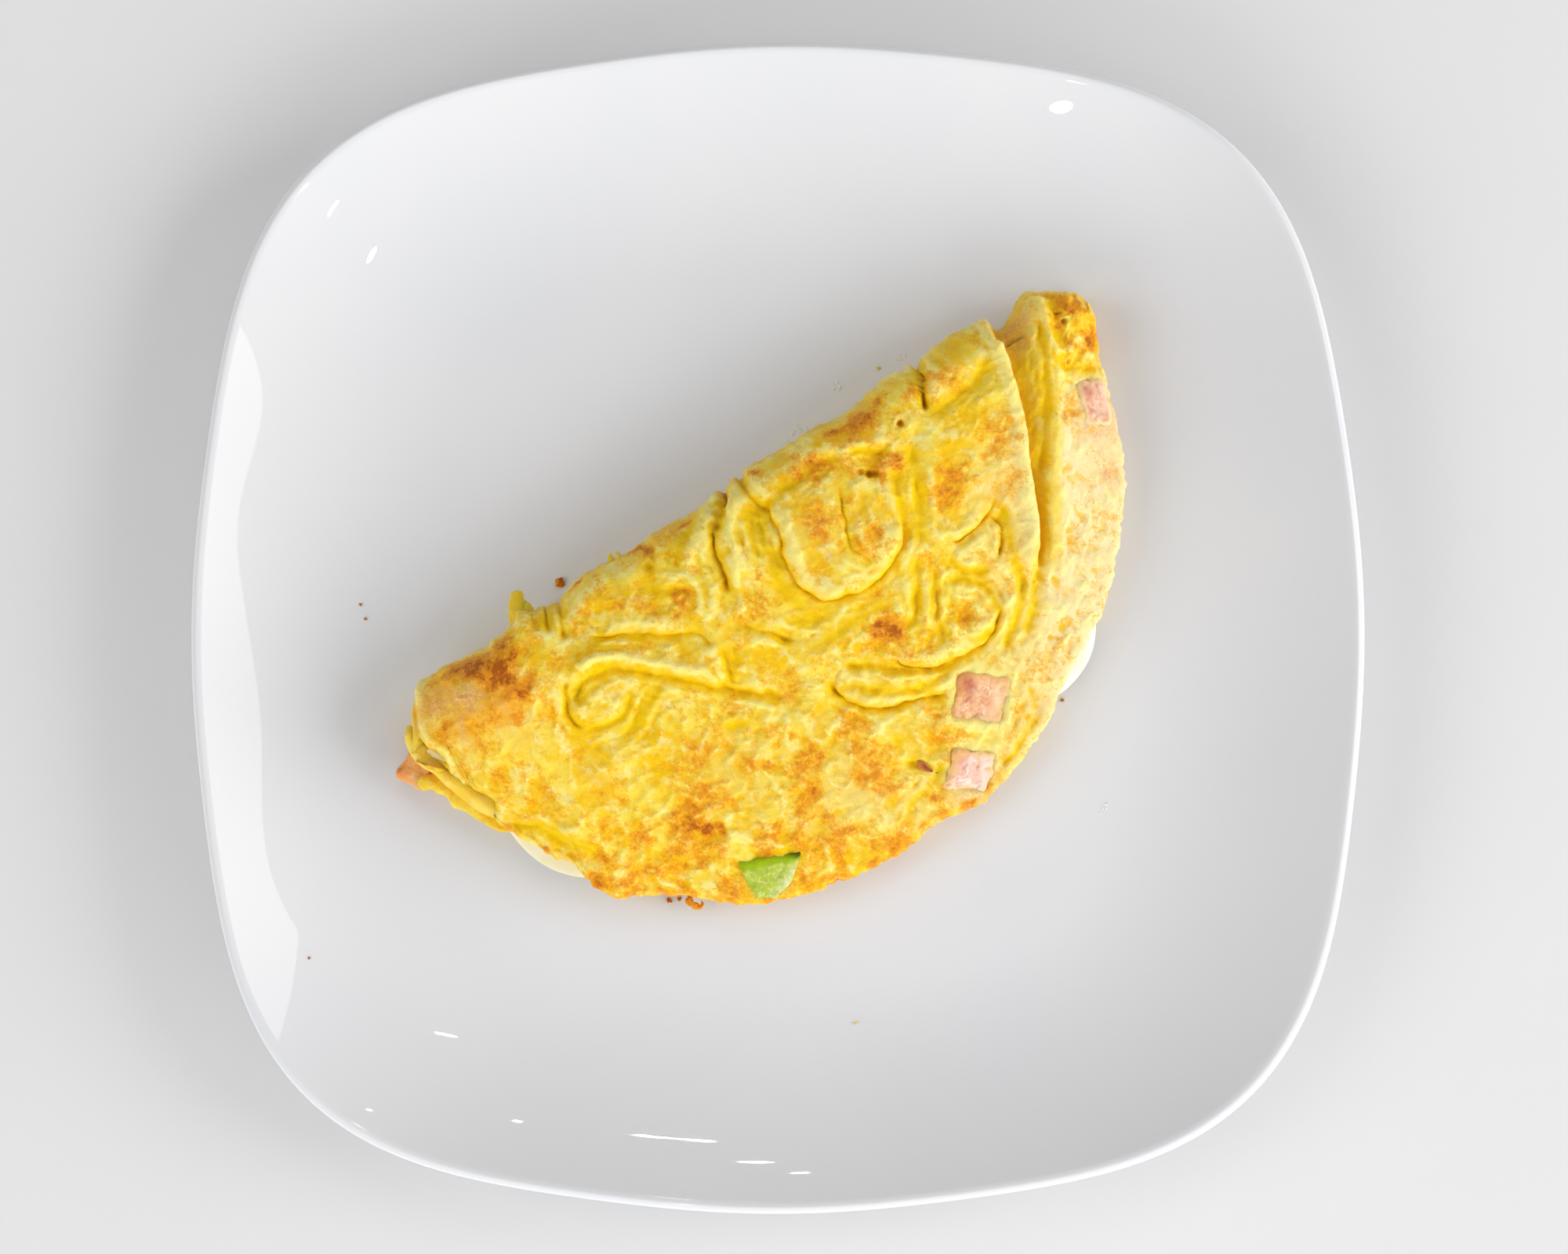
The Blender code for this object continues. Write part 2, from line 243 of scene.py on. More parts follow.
def tube(rings, ends):
    """Points and faces of a tube of closed rings, with a fan at each end round one more point."""
    rows, count = len(rings), len(rings[0])
    around = [(j, (j + 1) % count) for j in range(count)]
    faces = [(i * count + j, i * count + k, (i + 1) * count + k, (i + 1) * count + j)
             for i in range(rows - 1) for j, k in around]
    for j, k in around:
        faces += [(rows * count, k, j), (rows * count + 1, (rows - 1) * count + j, (rows - 1) * count + k)]
    return np.vstack([*rings, ends]), faces


def slab(outline, middle, levels, surface):
    """A tube of rings between a flat outline and its middle: surface(points, share, level) lifts them."""
    rings = [surface(middle + (outline - middle) * share, share, level) for share, level in levels]
    ends = [surface(middle[None], 0, level)[0] for level in (-1, 1)]
    return tube(rings, ends)


def round_side(count, squeeze):
    """Levels up a slab's rounded side, which stands out most half-way."""
    turns = np.linspace(-np.pi / 2, np.pi / 2, count)
    return [(1 - squeeze * (1 - math.cos(turn)), math.sin(turn)) for turn in turns]


def taken_apart(shape):
    """A bmesh's points and faces. The bmesh is freed."""
    points = np.array([tuple(vertex.co) for vertex in shape.verts])
    faces = [[vertex.index for vertex in face.verts] for face in shape.faces]
    shape.free()
    return points, faces


def make_joined(name, parts, finish):
    """One piece of many parts, each with its points, its faces and one value for each attribute."""
    points, faces, attributes = [], [], {key: [] for key in parts[0][2]}
    first = 0
    for part_points, part_faces, values in parts:
        points.append(part_points)
        faces += [tuple(first + i for i in face) for face in part_faces]
        first += len(part_points)
        for key, value in values.items():
            attributes[key] += [float(value)] * len(part_points)
    make_piece(name, np.vstack(points), faces, finish, attributes)


# ---------------- materials


def srgb(red, green, blue):
    """A screen colour, 0 to 255, as the linear one that shaders take."""
    shares = [value / 255 for value in (red, green, blue)]
    return (*[v / 12.92 if v <= 0.04045 else ((v + 0.055) / 1.055) ** 2.4 for v in shares], 1)


class Finish:
    """One procedural material, and short ways to add nodes to it."""

    def __init__(self, name, **settings):
        self.material = bpy.data.materials.new(name)
        self.material.use_nodes = True
        self.tree = self.material.node_tree
        self.shader = self.tree.nodes["Principled BSDF"]
        self.where = self.node("TexCoord", {}).outputs["Object"]
        self.surface(**settings)

    def put(self, socket, value):
        """Links a socket to a node's output or to the attribute of that name, or sets it to a constant."""
        if isinstance(value, str):
            value = self.node("Attribute", {}, attribute_name=value).outputs["Fac"]
        if isinstance(value, bpy.types.NodeSocket):
            self.tree.links.new(value, socket)
        else:
            socket.default_value = value

    def surface(self, **inputs):
        for socket, value in inputs.items():
            self.put(self.shader.inputs[socket.replace("_", " ")], value)

    def node(self, kind, inputs, **settings):
        """Adds a node, with some of its inputs given by name or number."""
        node = self.tree.nodes.new("ShaderNode" + kind)
        for key, value in settings.items():
            setattr(node, key, value)
        for index, value in inputs.items():
            self.put(node.inputs[index], value)
        return node

    def maths(self, operation, a, b):
        return self.node("Math", {0: a, 1: b}, operation=operation).outputs[0]

    def steps(self, value, low, high, start=0.0, end=1.0):
        """start below low, end above high, and a smooth change between them."""
        inputs = dict(enumerate((value, low, high, start, end)))
        return self.node("MapRange", inputs, interpolation_type="SMOOTHSTEP").outputs[0]

    def mix(self, factor, a, b):
        """Blends two colours: nodes' outputs, or screen colours from 0 to 255."""
        a, b = (srgb(*colour) if isinstance(colour, tuple) else colour for colour in (a, b))
        return self.node("Mix", {0: factor, 6: a, 7: b}, data_type="RGBA").outputs[2]

    def layers(self, colour, *layers):
        """Lays screen colours over a colour in turn, each as strong as its factor times its share."""
        for factor, share, screen in layers:
            colour = self.mix(self.maths("MULTIPLY", factor, share), colour, screen)
        return colour

    def noise(self, size, detail=2.0, warp=0.0, shift=0.0, rough=0.5):
        """Noise whose lumps are size mm across, shifted to a place of its own."""
        place = self.node("Mapping", {"Vector": self.where, "Location": (shift, shift * 0.7, shift * 1.3)})
        return self.node("TexNoise", {"Vector": place.outputs[0], "Scale": 1 / (size * MM), "Detail": detail,
                                      "Roughness": rough, "Distortion": warp}).outputs["Fac"]

    def bump(self, height, distance, strength, under=None):
        """A bump of distance mm, on top of another one."""
        node = self.node("Bump", {"Height": height, "Distance": distance * MM, "Strength": strength})
        if under:
            self.put(node.inputs["Normal"], under)
        return node.outputs["Normal"]


def porcelain_finish():
    """White glaze, with a dry unglazed band where the plate stands."""
    finish = Finish("porcelain", IOR=1.5)
    tint = finish.steps(finish.noise(60, 2), 0.35, 0.65)
    white = finish.mix(tint, (230, 231, 234), (233, 233, 235))
    grain = finish.noise(0.5, 3)
    biscuit = finish.mix(grain, (208, 203, 194), (226, 222, 214))
    finish.surface(
        Base_Color=finish.mix("foot", white, biscuit),
        Roughness=finish.steps("foot", 0, 1, 0.014, 0.75),
        Normal=finish.bump(finish.maths("MULTIPLY", grain, "foot"), 0.3, 0.5,
                           finish.bump(finish.noise(22, 2), 0.004, 0.5)),
    )
    return finish.material


def egg_finish():
    """Set egg: yellow, with grainy browned patches. Its paler ridges are a painted highlight; the deeper
    yellow and darker crease bottoms in its folds are painted shade.
    """
    finish = Finish("egg", Subsurface_Weight=0.5, Subsurface_Radius=(1.0, 0.55, 0.12),
                    Subsurface_Scale=0.0022, IOR=1.4)
    patches = finish.steps(finish.noise(7, 7, 0.2, 0.3, 0.64), 0.38, 0.6)
    colour = finish.mix(patches, (252, 202, 12), (254, 222, 84))
    cream = finish.steps(finish.noise(3.8, 9, 0.3, 0.4, 0.67), 0.5, 0.67)
    # Painted light from the skin's relief: shade in its hollows (valley), a highlight on its crests (ridge)
    valley = finish.steps("crest", -0.03, -0.38)
    ridge = finish.steps("crest", 0.05, 0.38)
    colour = finish.layers(
        colour,
        (cream, 0.7, (255, 238, 164)),
        ("pale", 0.8, (253, 232, 184)),
        ("cool", 0.5, (218, 196, 104)),
        (ridge, 0.66, (255, 240, 154)),
        (valley, 0.85, (252, 199, 0)),
        # yellow: painted shade and glow in fold hollows and the tuck's crease, and the bulge's and shreds'
        # own yellow
        ("yellow", 0.92, (254, 208, 0)),
    )
    grain = finish.noise(2.8, 9, 0.3, 0.9, 0.7)
    speck = finish.noise(0.7, 5, 0, 1.7, 0.65)
    pink = finish.maths("MULTIPLY", "pink", finish.steps(speck, 0.4, 0.6, 1, 0.35))
    colour = finish.mix(pink, colour, (228, 158, 108))
    heat = "brown"
    for unevenness, strength in ((grain, 2.3), (speck, 1.2)):
        around_zero = finish.maths("SUBTRACT", unevenness, 0.5)
        heat = finish.maths("ADD", heat, finish.maths("MULTIPLY", around_zero, strength))
    colour = finish.layers(
        colour,
        (finish.steps(heat, 0.2, 0.55), 0.68, (248, 182, 20)),
        (finish.steps(heat, 0.5, 0.9), 0.76, (230, 142, 30)),
        (finish.steps(heat, 0.92, 1.35), 0.85, (172, 84, 18)),
    )
    # Painted shade: a dark gold at the bottoms of creases, holes and torn gaps, and just beyond the left
    # tip's edge
    colour = finish.mix("painted_shade", colour, (190, 118, 0))
    finish.surface(
        Base_Color=colour,
        Roughness=finish.steps(heat, 0.2, 1, 0.42, 0.6),
        Normal=finish.bump(
            finish.noise(0.45, 5, 0, 2.3, 0.65), 0.22, 0.8,
            finish.bump(finish.noise(1.8, 6, 0.2, 3.1, 0.6), 0.55, 0.8)),
    )
    return finish.material


def floor_finish():
    finish = Finish("floor", Roughness=0.9, Specular_IOR_Level=0.1)
    cloud = finish.noise(40, 3)
    finish.surface(
        Base_Color=finish.mix(cloud, (230, 230, 231), (233, 233, 233)),
        Normal=finish.bump(finish.noise(1.2, 2), 0.05, 0.2),
    )
    return finish.material


# ---------------- camera, light and floor

# In metres and degrees
CAMERA_SPOT = Vector((0.03546, -0.04929, 0.59373))
CAMERA_AIM = Vector((0.003015, -0.002096, 0.019))
CAMERA_ROLL = -0.35
CAMERA_LENS = 60
SENSOR_WIDTH = 36
SOFT_LIGHTS = [  # azimuth and elevation in degrees, radiance
    (0, 20, 6.1),
    (315, 20, 2.9),
    (225, 20, 2.9),
    (270, 20, 2.5),
    (180, 20, 0.75),
    (180, 42, 1.9),
    (90, 42, 0.62),
    (45, 42, 0.57),
    (90, 64, 0.51),
    (0, 90, 0.18),
]
GLINT_LAMPS = [  # small ones that only the gloss shows: azimuth, elevation, width, height, radiance
    (-36, 69.1, 0.1, 0.016, 60),
    (-27.6, 78.5, 0.08, 0.028, 45),
    (-104.4, 61.8, 0.04, 0.08, 60),
    (88, 72.8, 0.07, 0.014, 60),
    (94.8, 57.4, 0.007, 0.014, 130),
    (95.5, 53.4, 0.02, 0.013, 60),
    (96.5, 51.2, 0.012, 0.012, 70),
    (73.8, 56.8, 0.03, 0.01, 25),
    (-97, 52, 0.05, 0.02, 40),
]
PANEL_CORNER = (0.43, 0.167, 1.2)  # the window that shows on the plate's left rim
PANEL_TURN = -20.8
PANEL_SIZE = (1.4, 0.7)
PANEL_RADIANCE = 2.3
WORLD_LIGHT = 0.06
LIGHT_DISTANCE = 2.0
SOFT_RADIUS = 0.728
FLOOR_REACH = 3


def direction(azimuth, elevation):
    """The way to a light, seen from the plate: anticlockwise from +X, then up, in degrees."""
    a, e = math.radians(azimuth), math.radians(elevation)
    return Vector((math.cos(e) * math.cos(a), math.cos(e) * math.sin(a), math.sin(e)))


def add_light(name, spot, aim, size, power, shape="DISK"):
    """An area light at a spot that faces another point. size is its width and its height."""
    data = bpy.data.lights.new(name, "AREA")
    data.shape = shape
    data.size, data.size_y = size
    data.energy = power
    light = bpy.data.objects.new(name, data)
    bpy.context.scene.collection.objects.link(light)
    light.location = spot
    light.rotation_euler = (spot - Vector(aim)).to_track_quat("Z", "Y").to_euler()
    return light


def set_camera(scene):
    back = (CAMERA_SPOT - CAMERA_AIM).normalized()
    right = Vector((0, 1, 0)).cross(back).normalized()
    turn = Matrix((right, back.cross(right), back)).transposed()
    turn = turn @ Matrix.Rotation(math.radians(CAMERA_ROLL), 3, "Z")
    data = bpy.data.cameras.new("camera")
    data.lens = CAMERA_LENS
    data.sensor_width = SENSOR_WIDTH
    camera = bpy.data.objects.new("camera", data)
    scene.collection.objects.link(camera)
    camera.matrix_world = Matrix.Translation(CAMERA_SPOT) @ turn.to_4x4()
    scene.camera = camera


def set_lights(scene):
    """Soft light for all but the gloss, small lamps and a window for the gloss alone, a faint sky."""
    scene.world = bpy.data.worlds.new("world")
    scene.world.use_nodes = True
    backdrop = scene.world.node_tree.nodes["Background"]
    backdrop.inputs["Color"].default_value = (1, 1, 1, 1)
    backdrop.inputs["Strength"].default_value = WORLD_LIGHT
    for azimuth, elevation, radiance in SOFT_LIGHTS:
        power = radiance * (math.pi * SOFT_RADIUS) ** 2
        spot = direction(azimuth, elevation) * LIGHT_DISTANCE
        light = add_light(f"soft_{azimuth}_{elevation}", spot, (0, 0, 0), (2 * SOFT_RADIUS,) * 2, power)
        light.visible_glossy = False
    for azimuth, elevation, width, height, radiance in GLINT_LAMPS:
        power = radiance * math.pi**2 * width * height / 4
        spot = direction(azimuth, elevation) * LIGHT_DISTANCE
        lamp = add_light(f"glint_{azimuth}_{elevation}", spot, (0, 0, 0), (width, height), power, "ELLIPSE")
        lamp.visible_diffuse = False
    width, height = PANEL_SIZE
    middle = Vector((*turned(width / 2, height / 2, PANEL_TURN), 0)) + Vector(PANEL_CORNER)
    power = PANEL_RADIANCE * math.pi * width * height
    panel = add_light("panel", middle, middle - Vector((0, 0, 1)), PANEL_SIZE, power, "RECTANGLE")
    panel.rotation_euler = (0, 0, math.radians(PANEL_TURN))
    panel.visible_diffuse = False


def set_stage():
    scene = bpy.context.scene
    scene.view_settings.view_transform = "Standard"
    set_camera(scene)
    set_lights(scene)
    mesh = bpy.data.meshes.new("floor")
    corners = [(-FLOOR_REACH, -FLOOR_REACH, 0), (FLOOR_REACH, -FLOOR_REACH, 0),
               (FLOOR_REACH, FLOOR_REACH, 0), (-FLOOR_REACH, FLOOR_REACH, 0)]
    mesh.from_pydata(corners, [], [(0, 1, 2, 3)])
    mesh.materials.append(floor_finish())
    floor = bpy.data.objects.new("floor", mesh)
    scene.collection.objects.link(floor)


# ---------------- plate


def build_plate():
    lip = LIP_THICKNESS / 2 / PLATE_HALF_WIDTH
    inner = 1 - lip
    shares = [*np.linspace(0.02, WELL_SHARE, WELL_RINGS), *np.linspace(WELL_SHARE + 0.01, inner, RIM_RINGS)]
    profile = [(share, plate_height(share)) for share in shares]
    middle = plate_height(inner) - LIP_THICKNESS / 2
    for angle in np.radians(np.arange(75, -91, -15)):
        profile.append((inner + lip * math.cos(angle), middle + LIP_THICKNESS / 2 * math.sin(angle)))
    for share in np.linspace(0.975, 0.66, UNDERSIDE_RINGS):
        thickness = LIP_THICKNESS + (PLATE_THICKNESS - LIP_THICKNESS) * (1 - share)
        profile.append((share, plate_height(share) - thickness))
    chamfer = FOOT_CHAMFER / PLATE_HALF_WIDTH
    foot_inner = FOOT_OUTER_SHARE - FOOT_WIDTH_SHARE
    hollow = WELL_HEIGHT - PLATE_THICKNESS
    profile += [(FOOT_OUTER_SHARE + chamfer, hollow), (FOOT_OUTER_SHARE, FOOT_CHAMFER)]
    foot_first = len(profile)
    profile += [(FOOT_OUTER_SHARE - chamfer, 0.0), (foot_inner + chamfer, 0.0)]
    profile += [(foot_inner, FOOT_CHAMFER), (foot_inner - chamfer, hollow)]
    profile += [(share, hollow) for share in np.linspace(foot_inner - 3 * chamfer, 0.1, HOLLOW_RINGS)]

    angles = np.arange(PLATE_COLUMNS) * 2 * np.pi / PLATE_COLUMNS
    reach = PLATE_HALF_WIDTH * outline_reach(angles)
    rings = [
        np.stack([share * reach * np.cos(angles), share * reach * np.sin(angles), 0 * angles + height], -1)
        for share, height in profile
    ]
    points, faces = tube(rings, [(0, 0, WELL_HEIGHT), (0, 0, hollow)])
    foot = np.zeros(len(points))
    foot[foot_first * PLATE_COLUMNS : (foot_first + 2) * PLATE_COLUMNS] = 1
    plate = make_piece("plate_glazed", points, faces, porcelain_finish(), {"foot": foot})
    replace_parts(plate, "plate")


# ---------------- omelette shape, as in the CAD


def fold_edge(x):
    """The straight folded side, with a torn tuft near its left end and both ends falling away."""
    y = -0.3 - 0.02 * x + 0.5 * np.sin(x / 7) + 0.4 * np.sin(x / 3.1)
    y += 5.5 * bump(x, -48, 4.5) - 11 * np.maximum(0, (-79 - x) / 14)
    return y - 6 * np.maximum(0, (x - 80) / 13) ** 1.2


# How far the round side stands out of its circle, at which angle, and over how many degrees
ARC_SWELLS = [(1.8, -80, 4), (-2.9, -61, 6), (-1.6, -54.6, 1.7), (2.2, -47.5, 3), (-1.1, -38, 5),
              (1.4, -27, 10), (-1.9, -1, 4), (0.7, 8, 4), (-2.1, 29, 7), (0.8, 58, 6), (2.8, 82, 5)]


def arc_radius(degrees):
    """The round open side's radius. The angle is 0 towards -Y."""
    return ARC_RADIUS + sum(out * bump(degrees, middle, width) for out, middle, width in ARC_SWELLS)


def top_height(x, y, inward, length, share):
    """Height of the upper leaf over the plate, without its folds."""
    body = TIP_THICKNESS + (FOLD_THICKNESS - TIP_THICKNESS) * smooth_step((1 - np.abs(share)) / 0.45)
    fall = np.clip((inward - FOLD_RAMP) / np.maximum(length - FOLD_RAMP, 1), 0, 1)
    degrees = ARC_END_ANGLE * share
    edge = EDGE_THICKNESS + CHEESE_LIFT * (bump(degrees, -58, 11) + bump(degrees, 31, 9))
    height = body + (edge - body) * fall**1.8
    blunt = np.minimum(1, length / 16)
    last = np.clip((LAST_SHARE - share) * FOLD_HALF_LENGTH / 7, 0, 1)
    height = height * (0.45 + 0.55 * np.sqrt(1 - (1 - blunt) ** 2))
    height = height * (0.4 + 0.6 * np.sqrt(1 - (1 - last) ** 2))
    calm = smooth_step(inward / 8) * smooth_step((length - inward) / 8)
    humps = 3.5 * bump(np.hypot(x + 69, y + 11), 0, 13) + 2.0 * bump(np.hypot(x - 18, y + 22), 0, 16)
    return height + calm * humps


# ---------------- folds of the skin

# Each fold: the points it follows in mm, then its depth (a ridge's is negative) and width, and if it
# has them the rise of its left and right banks, how far it leans over to its right, how strongly
# painted shade darkens its bottom, and 1 if it runs out over the folded side.
FOLDS = [
    ([(9.5, -9), (7.5, -14), (6.5, -19), (4.5, -24), (4, -29), (5.5, -33.5), (9, -36.5), (14, -38),
      (19, -38), (24, -36.8), (28, -34.2), (31, -30)], 1.1, 0.9, 1.4, 0, 0.9, 0.55),
    ([(4, -7), (3.5, -14), (2.5, -20), (0.5, -26), (1, -32), (4, -37), (9, -40)], 0.9, 2),
    ([(23.5, -16), (21.5, -21), (19.5, -25.5), (18, -29), (18.5, -32), (20.5, -34.8)], 0.9, 0.5, 0.5, 0,
      0.3, 0.6),
    ([(36.5, -18), (33.5, -24), (31.5, -29), (30, -33), (29.5, -36)], 0.7, 1, 0, 0.5),
    ([(41, -16), (39.5, -22), (37, -27), (34.5, -31), (32, -35), (30.5, -39)], 0.8, 1.3, 0.4, 0.3),
    ([(47, -14.5), (52, -15.5), (57, -15), (62, -14), (67, -11.5)], 0.9, 1.6, 0.5, 0.3),
    ([(53.5, 6), (52.8, -1), (51.5, -7), (49.5, -11), (48, -14.5)], 2.2, 0.7, 0.5, 0.5, 0, 1, 1),
    ([(28, -12.5), (31, -12.8), (34, -15.2), (37.5, -18)], 0.6, 0.7, 0.7, 0),
    ([(28.5, -17), (30, -18.6), (32, -19.4)], 1.2, 0.5, 0, 0, 0, 0.9),
    ([(26.5, -9), (28.5, -11), (31, -11), (33.5, -13), (36, -13), (38.5, -11.5), (39.5, -9)], -0.6, 0.7),
    ([(7.5, 5), (7, -1), (6, -5), (6.2, -10), (8, -13.5)], 1.2, 0.8, 0.8, 0.2, 0, 0.5, 1),
    ([(10, -9.5), (15, -10.7), (20, -10), (24, -10.5), (28, -12.8)], 0.6, 0.8, 0.6, 0.4),
    ([(51, -37.5), (46.5, -39.8), (42, -40.6), (38.5, -41), (36, -40.6)], 1.1, 0.7, 0, 0.9, -0.8, 0.7),
    ([(46.5, -39.5), (47.5, -42.5), (47, -45), (45, -47.5), (42, -50)], 1.2, 0.7, 0.3, 0.7, -0.3, 0.8),
    ([(42, -50.2), (38.5, -49.6), (35.5, -47.5), (34.2, -44.5), (35.5, -41.5)], 0.7, 0.8, 0.2, 0.7, 0, 0.15),
    ([(30, -46.8), (33, -47.8), (36, -50.3), (37.5, -54), (36.8, -57.5), (34.5, -60), (31, -61),
      (27, -60.3)], 0.8, 0.8, 0.2, 0.8),
    ([(30, -46.5), (27.5, -48.5), (25.2, -52), (24, -55), (22.5, -57.5)], 0.8, 0.6, 0.6, 0, 0, 0.3),
    ([(25, -53.5), (28, -54.3), (29.5, -56), (29.8, -58.5)], 0.5, 0.45, 0, 0, 0, 0.35),
    ([(12, -54), (13.5, -57), (16.5, -59.7), (20, -61.2), (24, -62), (28, -62.5), (32, -62), (35, -60.5),
      (38, -57.5)], 1.2, 0.8, 0.8, 0.2, 0.8, 0.5),
    ([(29, -38), (27, -41.5), (24.5, -44.5), (22.5, -48), (20, -50), (17, -50.5)], 0.9, 0.9, 0.5, 0.4),
    ([(31.5, -42.5), (29, -45), (26.5, -48), (24.5, -50.5), (22, -51.5)], 0.7, 0.7, 0.4, 0.4),
    ([(-3, -50), (-2.2, -53.5), (-1, -57), (1, -60), (4, -62.2), (7.5, -63.3), (11.5, -64.7), (15, -66.2),
      (18, -67)], 1.3, 1, 0.6, 0.3, 0.6, 0.55),
    ([(1, -49), (4, -51), (7.5, -53.2), (10, -55.8), (13, -58.4), (17, -60.8), (21, -62.3), (25, -63)], 0.8,
      0.8, 0.4, 0.6, 0, 0.2),
    ([(0.5, -53.5), (3.5, -56.8), (7.5, -59.8), (11.5, -62), (15.5, -63.4), (19, -63.8)], 0.6, 0.7, 0.5,
      0.4),
    ([(-12, -29), (-9, -32.8), (-6.5, -36), (-3.5, -40)], 0.9, 0.6, 0.3, 0.6, 0, 0.6),
    ([(51, -39), (49, -43), (47.5, -47.5), (45.5, -52), (44.5, -56.5), (41, -60.5), (37, -63.5),
      (32.5, -66.5)], 0.7, 1, 0.4, 0.3),
    ([(53.5, -49), (50.5, -53.5), (47.5, -57.5), (44.5, -61), (41, -64), (37, -67)], 0.7, 1.1, 0.4, 0.4),
    ([(6, 6), (3, 1), (0.5, -4), (-1.5, -6.5), (-4.5, -9), (-6.7, -12), (-7.6, -15.5), (-8.5, -19.5),
      (-9.7, -23)], 1.9, 0.75, 0.7, 0.8, 0.4, 0.9, 1),
    ([(-0.5, -3.5), (-4.5, -6), (-8.5, -8), (-12, -10), (-15.5, -12.8)], -1.3, 1.2),
    ([(-3, -2), (-7, -4.8), (-11, -7), (-14.5, -9.5), (-17, -12.5)], 0.9, 0.8),
    ([(2.5, -5), (0, -8.5), (-2, -12), (-4, -16), (-6, -20), (-8.5, -25), (-10.5, -30)], -0.8, 0.8),
    ([(4, -7), (3, -11), (1.8, -14.5), (0.6, -18), (0, -21)], 0.6, 0.6),
    ([(5, -11), (4, -15), (3, -18), (2, -21)], 0.5, 0.5),
    ([(-24, -6), (-22, -7.5), (-20, -7.3), (-18.5, -5), (-18, -2)], 1, 0.6, 0, 0, 0, 0.8),
    ([(-41, -8), (-38, -5.5), (-34.5, -4.6), (-31, -4.8), (-27, -6), (-22, -9)], -0.6, 1),
    ([(-22, -10), (-18.5, -11.2), (-15.8, -13.2), (-14.6, -16), (-15.2, -19), (-17, -21.5), (-20, -22.5)],
      -0.9, 0.8),
    ([(-27, -11), (-23, -12.7), (-20, -15), (-17.6, -16.5), (-18.5, -19.5)], 0.8, 1.2),
    ([(-42, -12.5), (-38, -14.8), (-33.5, -17), (-29.5, -19.7), (-26.5, -22.3), (-23.5, -23.7),
      (-20.5, -25.6), (-19.5, -28), (-19.3, -31)], 1, 0.9, 0.7, 0.5, 0.6, 0.15),
    ([(-47, -19), (-43.5, -17.6), (-39.5, -18.6), (-36, -21.6), (-32.5, -25), (-29, -28.3), (-25.5, -31.8),
      (-23.3, -35.3), (-21.8, -39)], -1.1, 0.9),
    ([(-19.3, -28.5), (-20, -31.5), (-20.9, -35), (-21.7, -39)], -0.7, 0.7),
    ([(-17.8, -30), (-18.6, -34), (-19.4, -37), (-19.6, -41)], 0.8, 0.7, 0, 0, 0, 0.2),
    ([(-51, -25), (-49.5, -22), (-46, -20.7), (-42, -21.2), (-38.5, -23.3), (-35, -26.3), (-31, -30.4),
      (-27.5, -34), (-23.5, -38.3), (-19.5, -42), (-16, -45), (-12.5, -48.5)], 1.2, 0.9, 0.4, 0.5, 0, 0.2),
    ([(-48.5, -17.5), (-51.5, -20.5), (-53.3, -23.8), (-53.7, -27), (-52.5, -29.2)], 1.2, 0.7, 0.4, 0.3, 0,
      0.6),
    ([(-52.5, -29.2), (-50, -30.6), (-46.5, -31.6), (-43, -31.2), (-40.5, -29.3), (-39.5, -26.5)], 0.9, 0.8,
      0.6, 0),
    ([(-51, -25.5), (-50, -23.8), (-47, -22.8), (-44, -22.6), (-41.5, -23.6)], 0.6, 0.5),
    ([(-48, -26.5), (-45, -26), (-42.5, -27)], -0.7, 1.2),
    ([(-49, -33), (-45.5, -34.6), (-42, -34.2), (-38.5, -33), (-35, -31.4), (-31.5, -31.6)], 0.6, 1),
    ([(-41, -36.5), (-38.5, -34), (-35, -32.2), (-31.5, -32.5), (-28.5, -34.2)], -0.6, 0.8),
    ([(-28, -43.5), (-26, -46.3), (-23, -47.6), (-21, -46.6)], 0.5, 0.9),
    ([(-3, -43), (3.5, -43), (9, -42.5), (14.5, -41)], 0.5, 1),
    ([(-4, -34.5), (1, -36.8), (4, -39.5)], 0.5, 0.8),
    ([(-80, -35), (-76.5, -38.7), (-73.3, -41.5), (-71.8, -45.5), (-69.5, -49.5)], 0.8, 1, 0.5, 0.3),
    ([(-72.5, -41), (-70.5, -44.5), (-69, -48.5), (-66.5, -52.5), (-64, -57)], 0.6, 0.9),
    ([(-45, -66.5), (-40.5, -66.3), (-37, -68.5), (-33.5, -72), (-30, -76)], -0.5, 0.8),
    ([(32.5, -82), (28, -83.5), (22.5, -86), (18.5, -88)], 0.5, 0.8),
    ([(2.5, -66), (2.6, -69.5), (2, -72.5)], 0.5, 0.6),
    ([(8.5, -78), (5, -81), (0, -82.3), (-6, -82.8)], 0.7, 0.9),
    ([(16, -80.5), (18.5, -81.8)], 0.7, 0.5, 0, 0, 0, 0.4),
    ([(0.5, -74), (3.5, -76.3), (6.5, -80.5)], 0.8, 1),
    ([(77.5, -18.5), (79.3, -22), (81.5, -24.3), (84, -25.6), (87, -26.5)], 0.9, 0.8, 0.6, 0, 0, 0.3),
    ([(82.5, -4), (83.3, -9), (83.3, -12.5), (80.8, -15), (79, -16.8), (80, -19), (82.5, -19.5),
      (85.5, -18.7), (86.5, -21)], -0.6, 0.7),
    ([(86, -6), (84.6, -10.5), (82.4, -14.2), (80, -17)], 0.9, 1.0, 0.4, 0.5),
    ([(77.9, -19.5), (80, -22.6), (82.8, -22.4), (85.2, -19.8)], 0.7, 0.8, 0.5, 0.2, 0, 0.2),
    ([(80.5, -10), (78.3, -15.2), (74.4, -22), (70.6, -27.8), (65.2, -35), (61, -40)], 0.9, 0.8, 0.3, 0.2,
      0, 0.12),
    ([(-44, 6), (-45, 0), (-46, -3.5), (-48, -7.5)], 1.8, 0.7, 0, 0, 0, 0.3, 1),
    ([(-41, 6), (-42.5, -4), (-44, -7.5), (-45.5, -11)], 1.6, 0.7, 0, 0, 0, 0.5, 1),
    ([(-56, -63), (-52.5, -64.5), (-49, -67)], 0.5, 1),
]
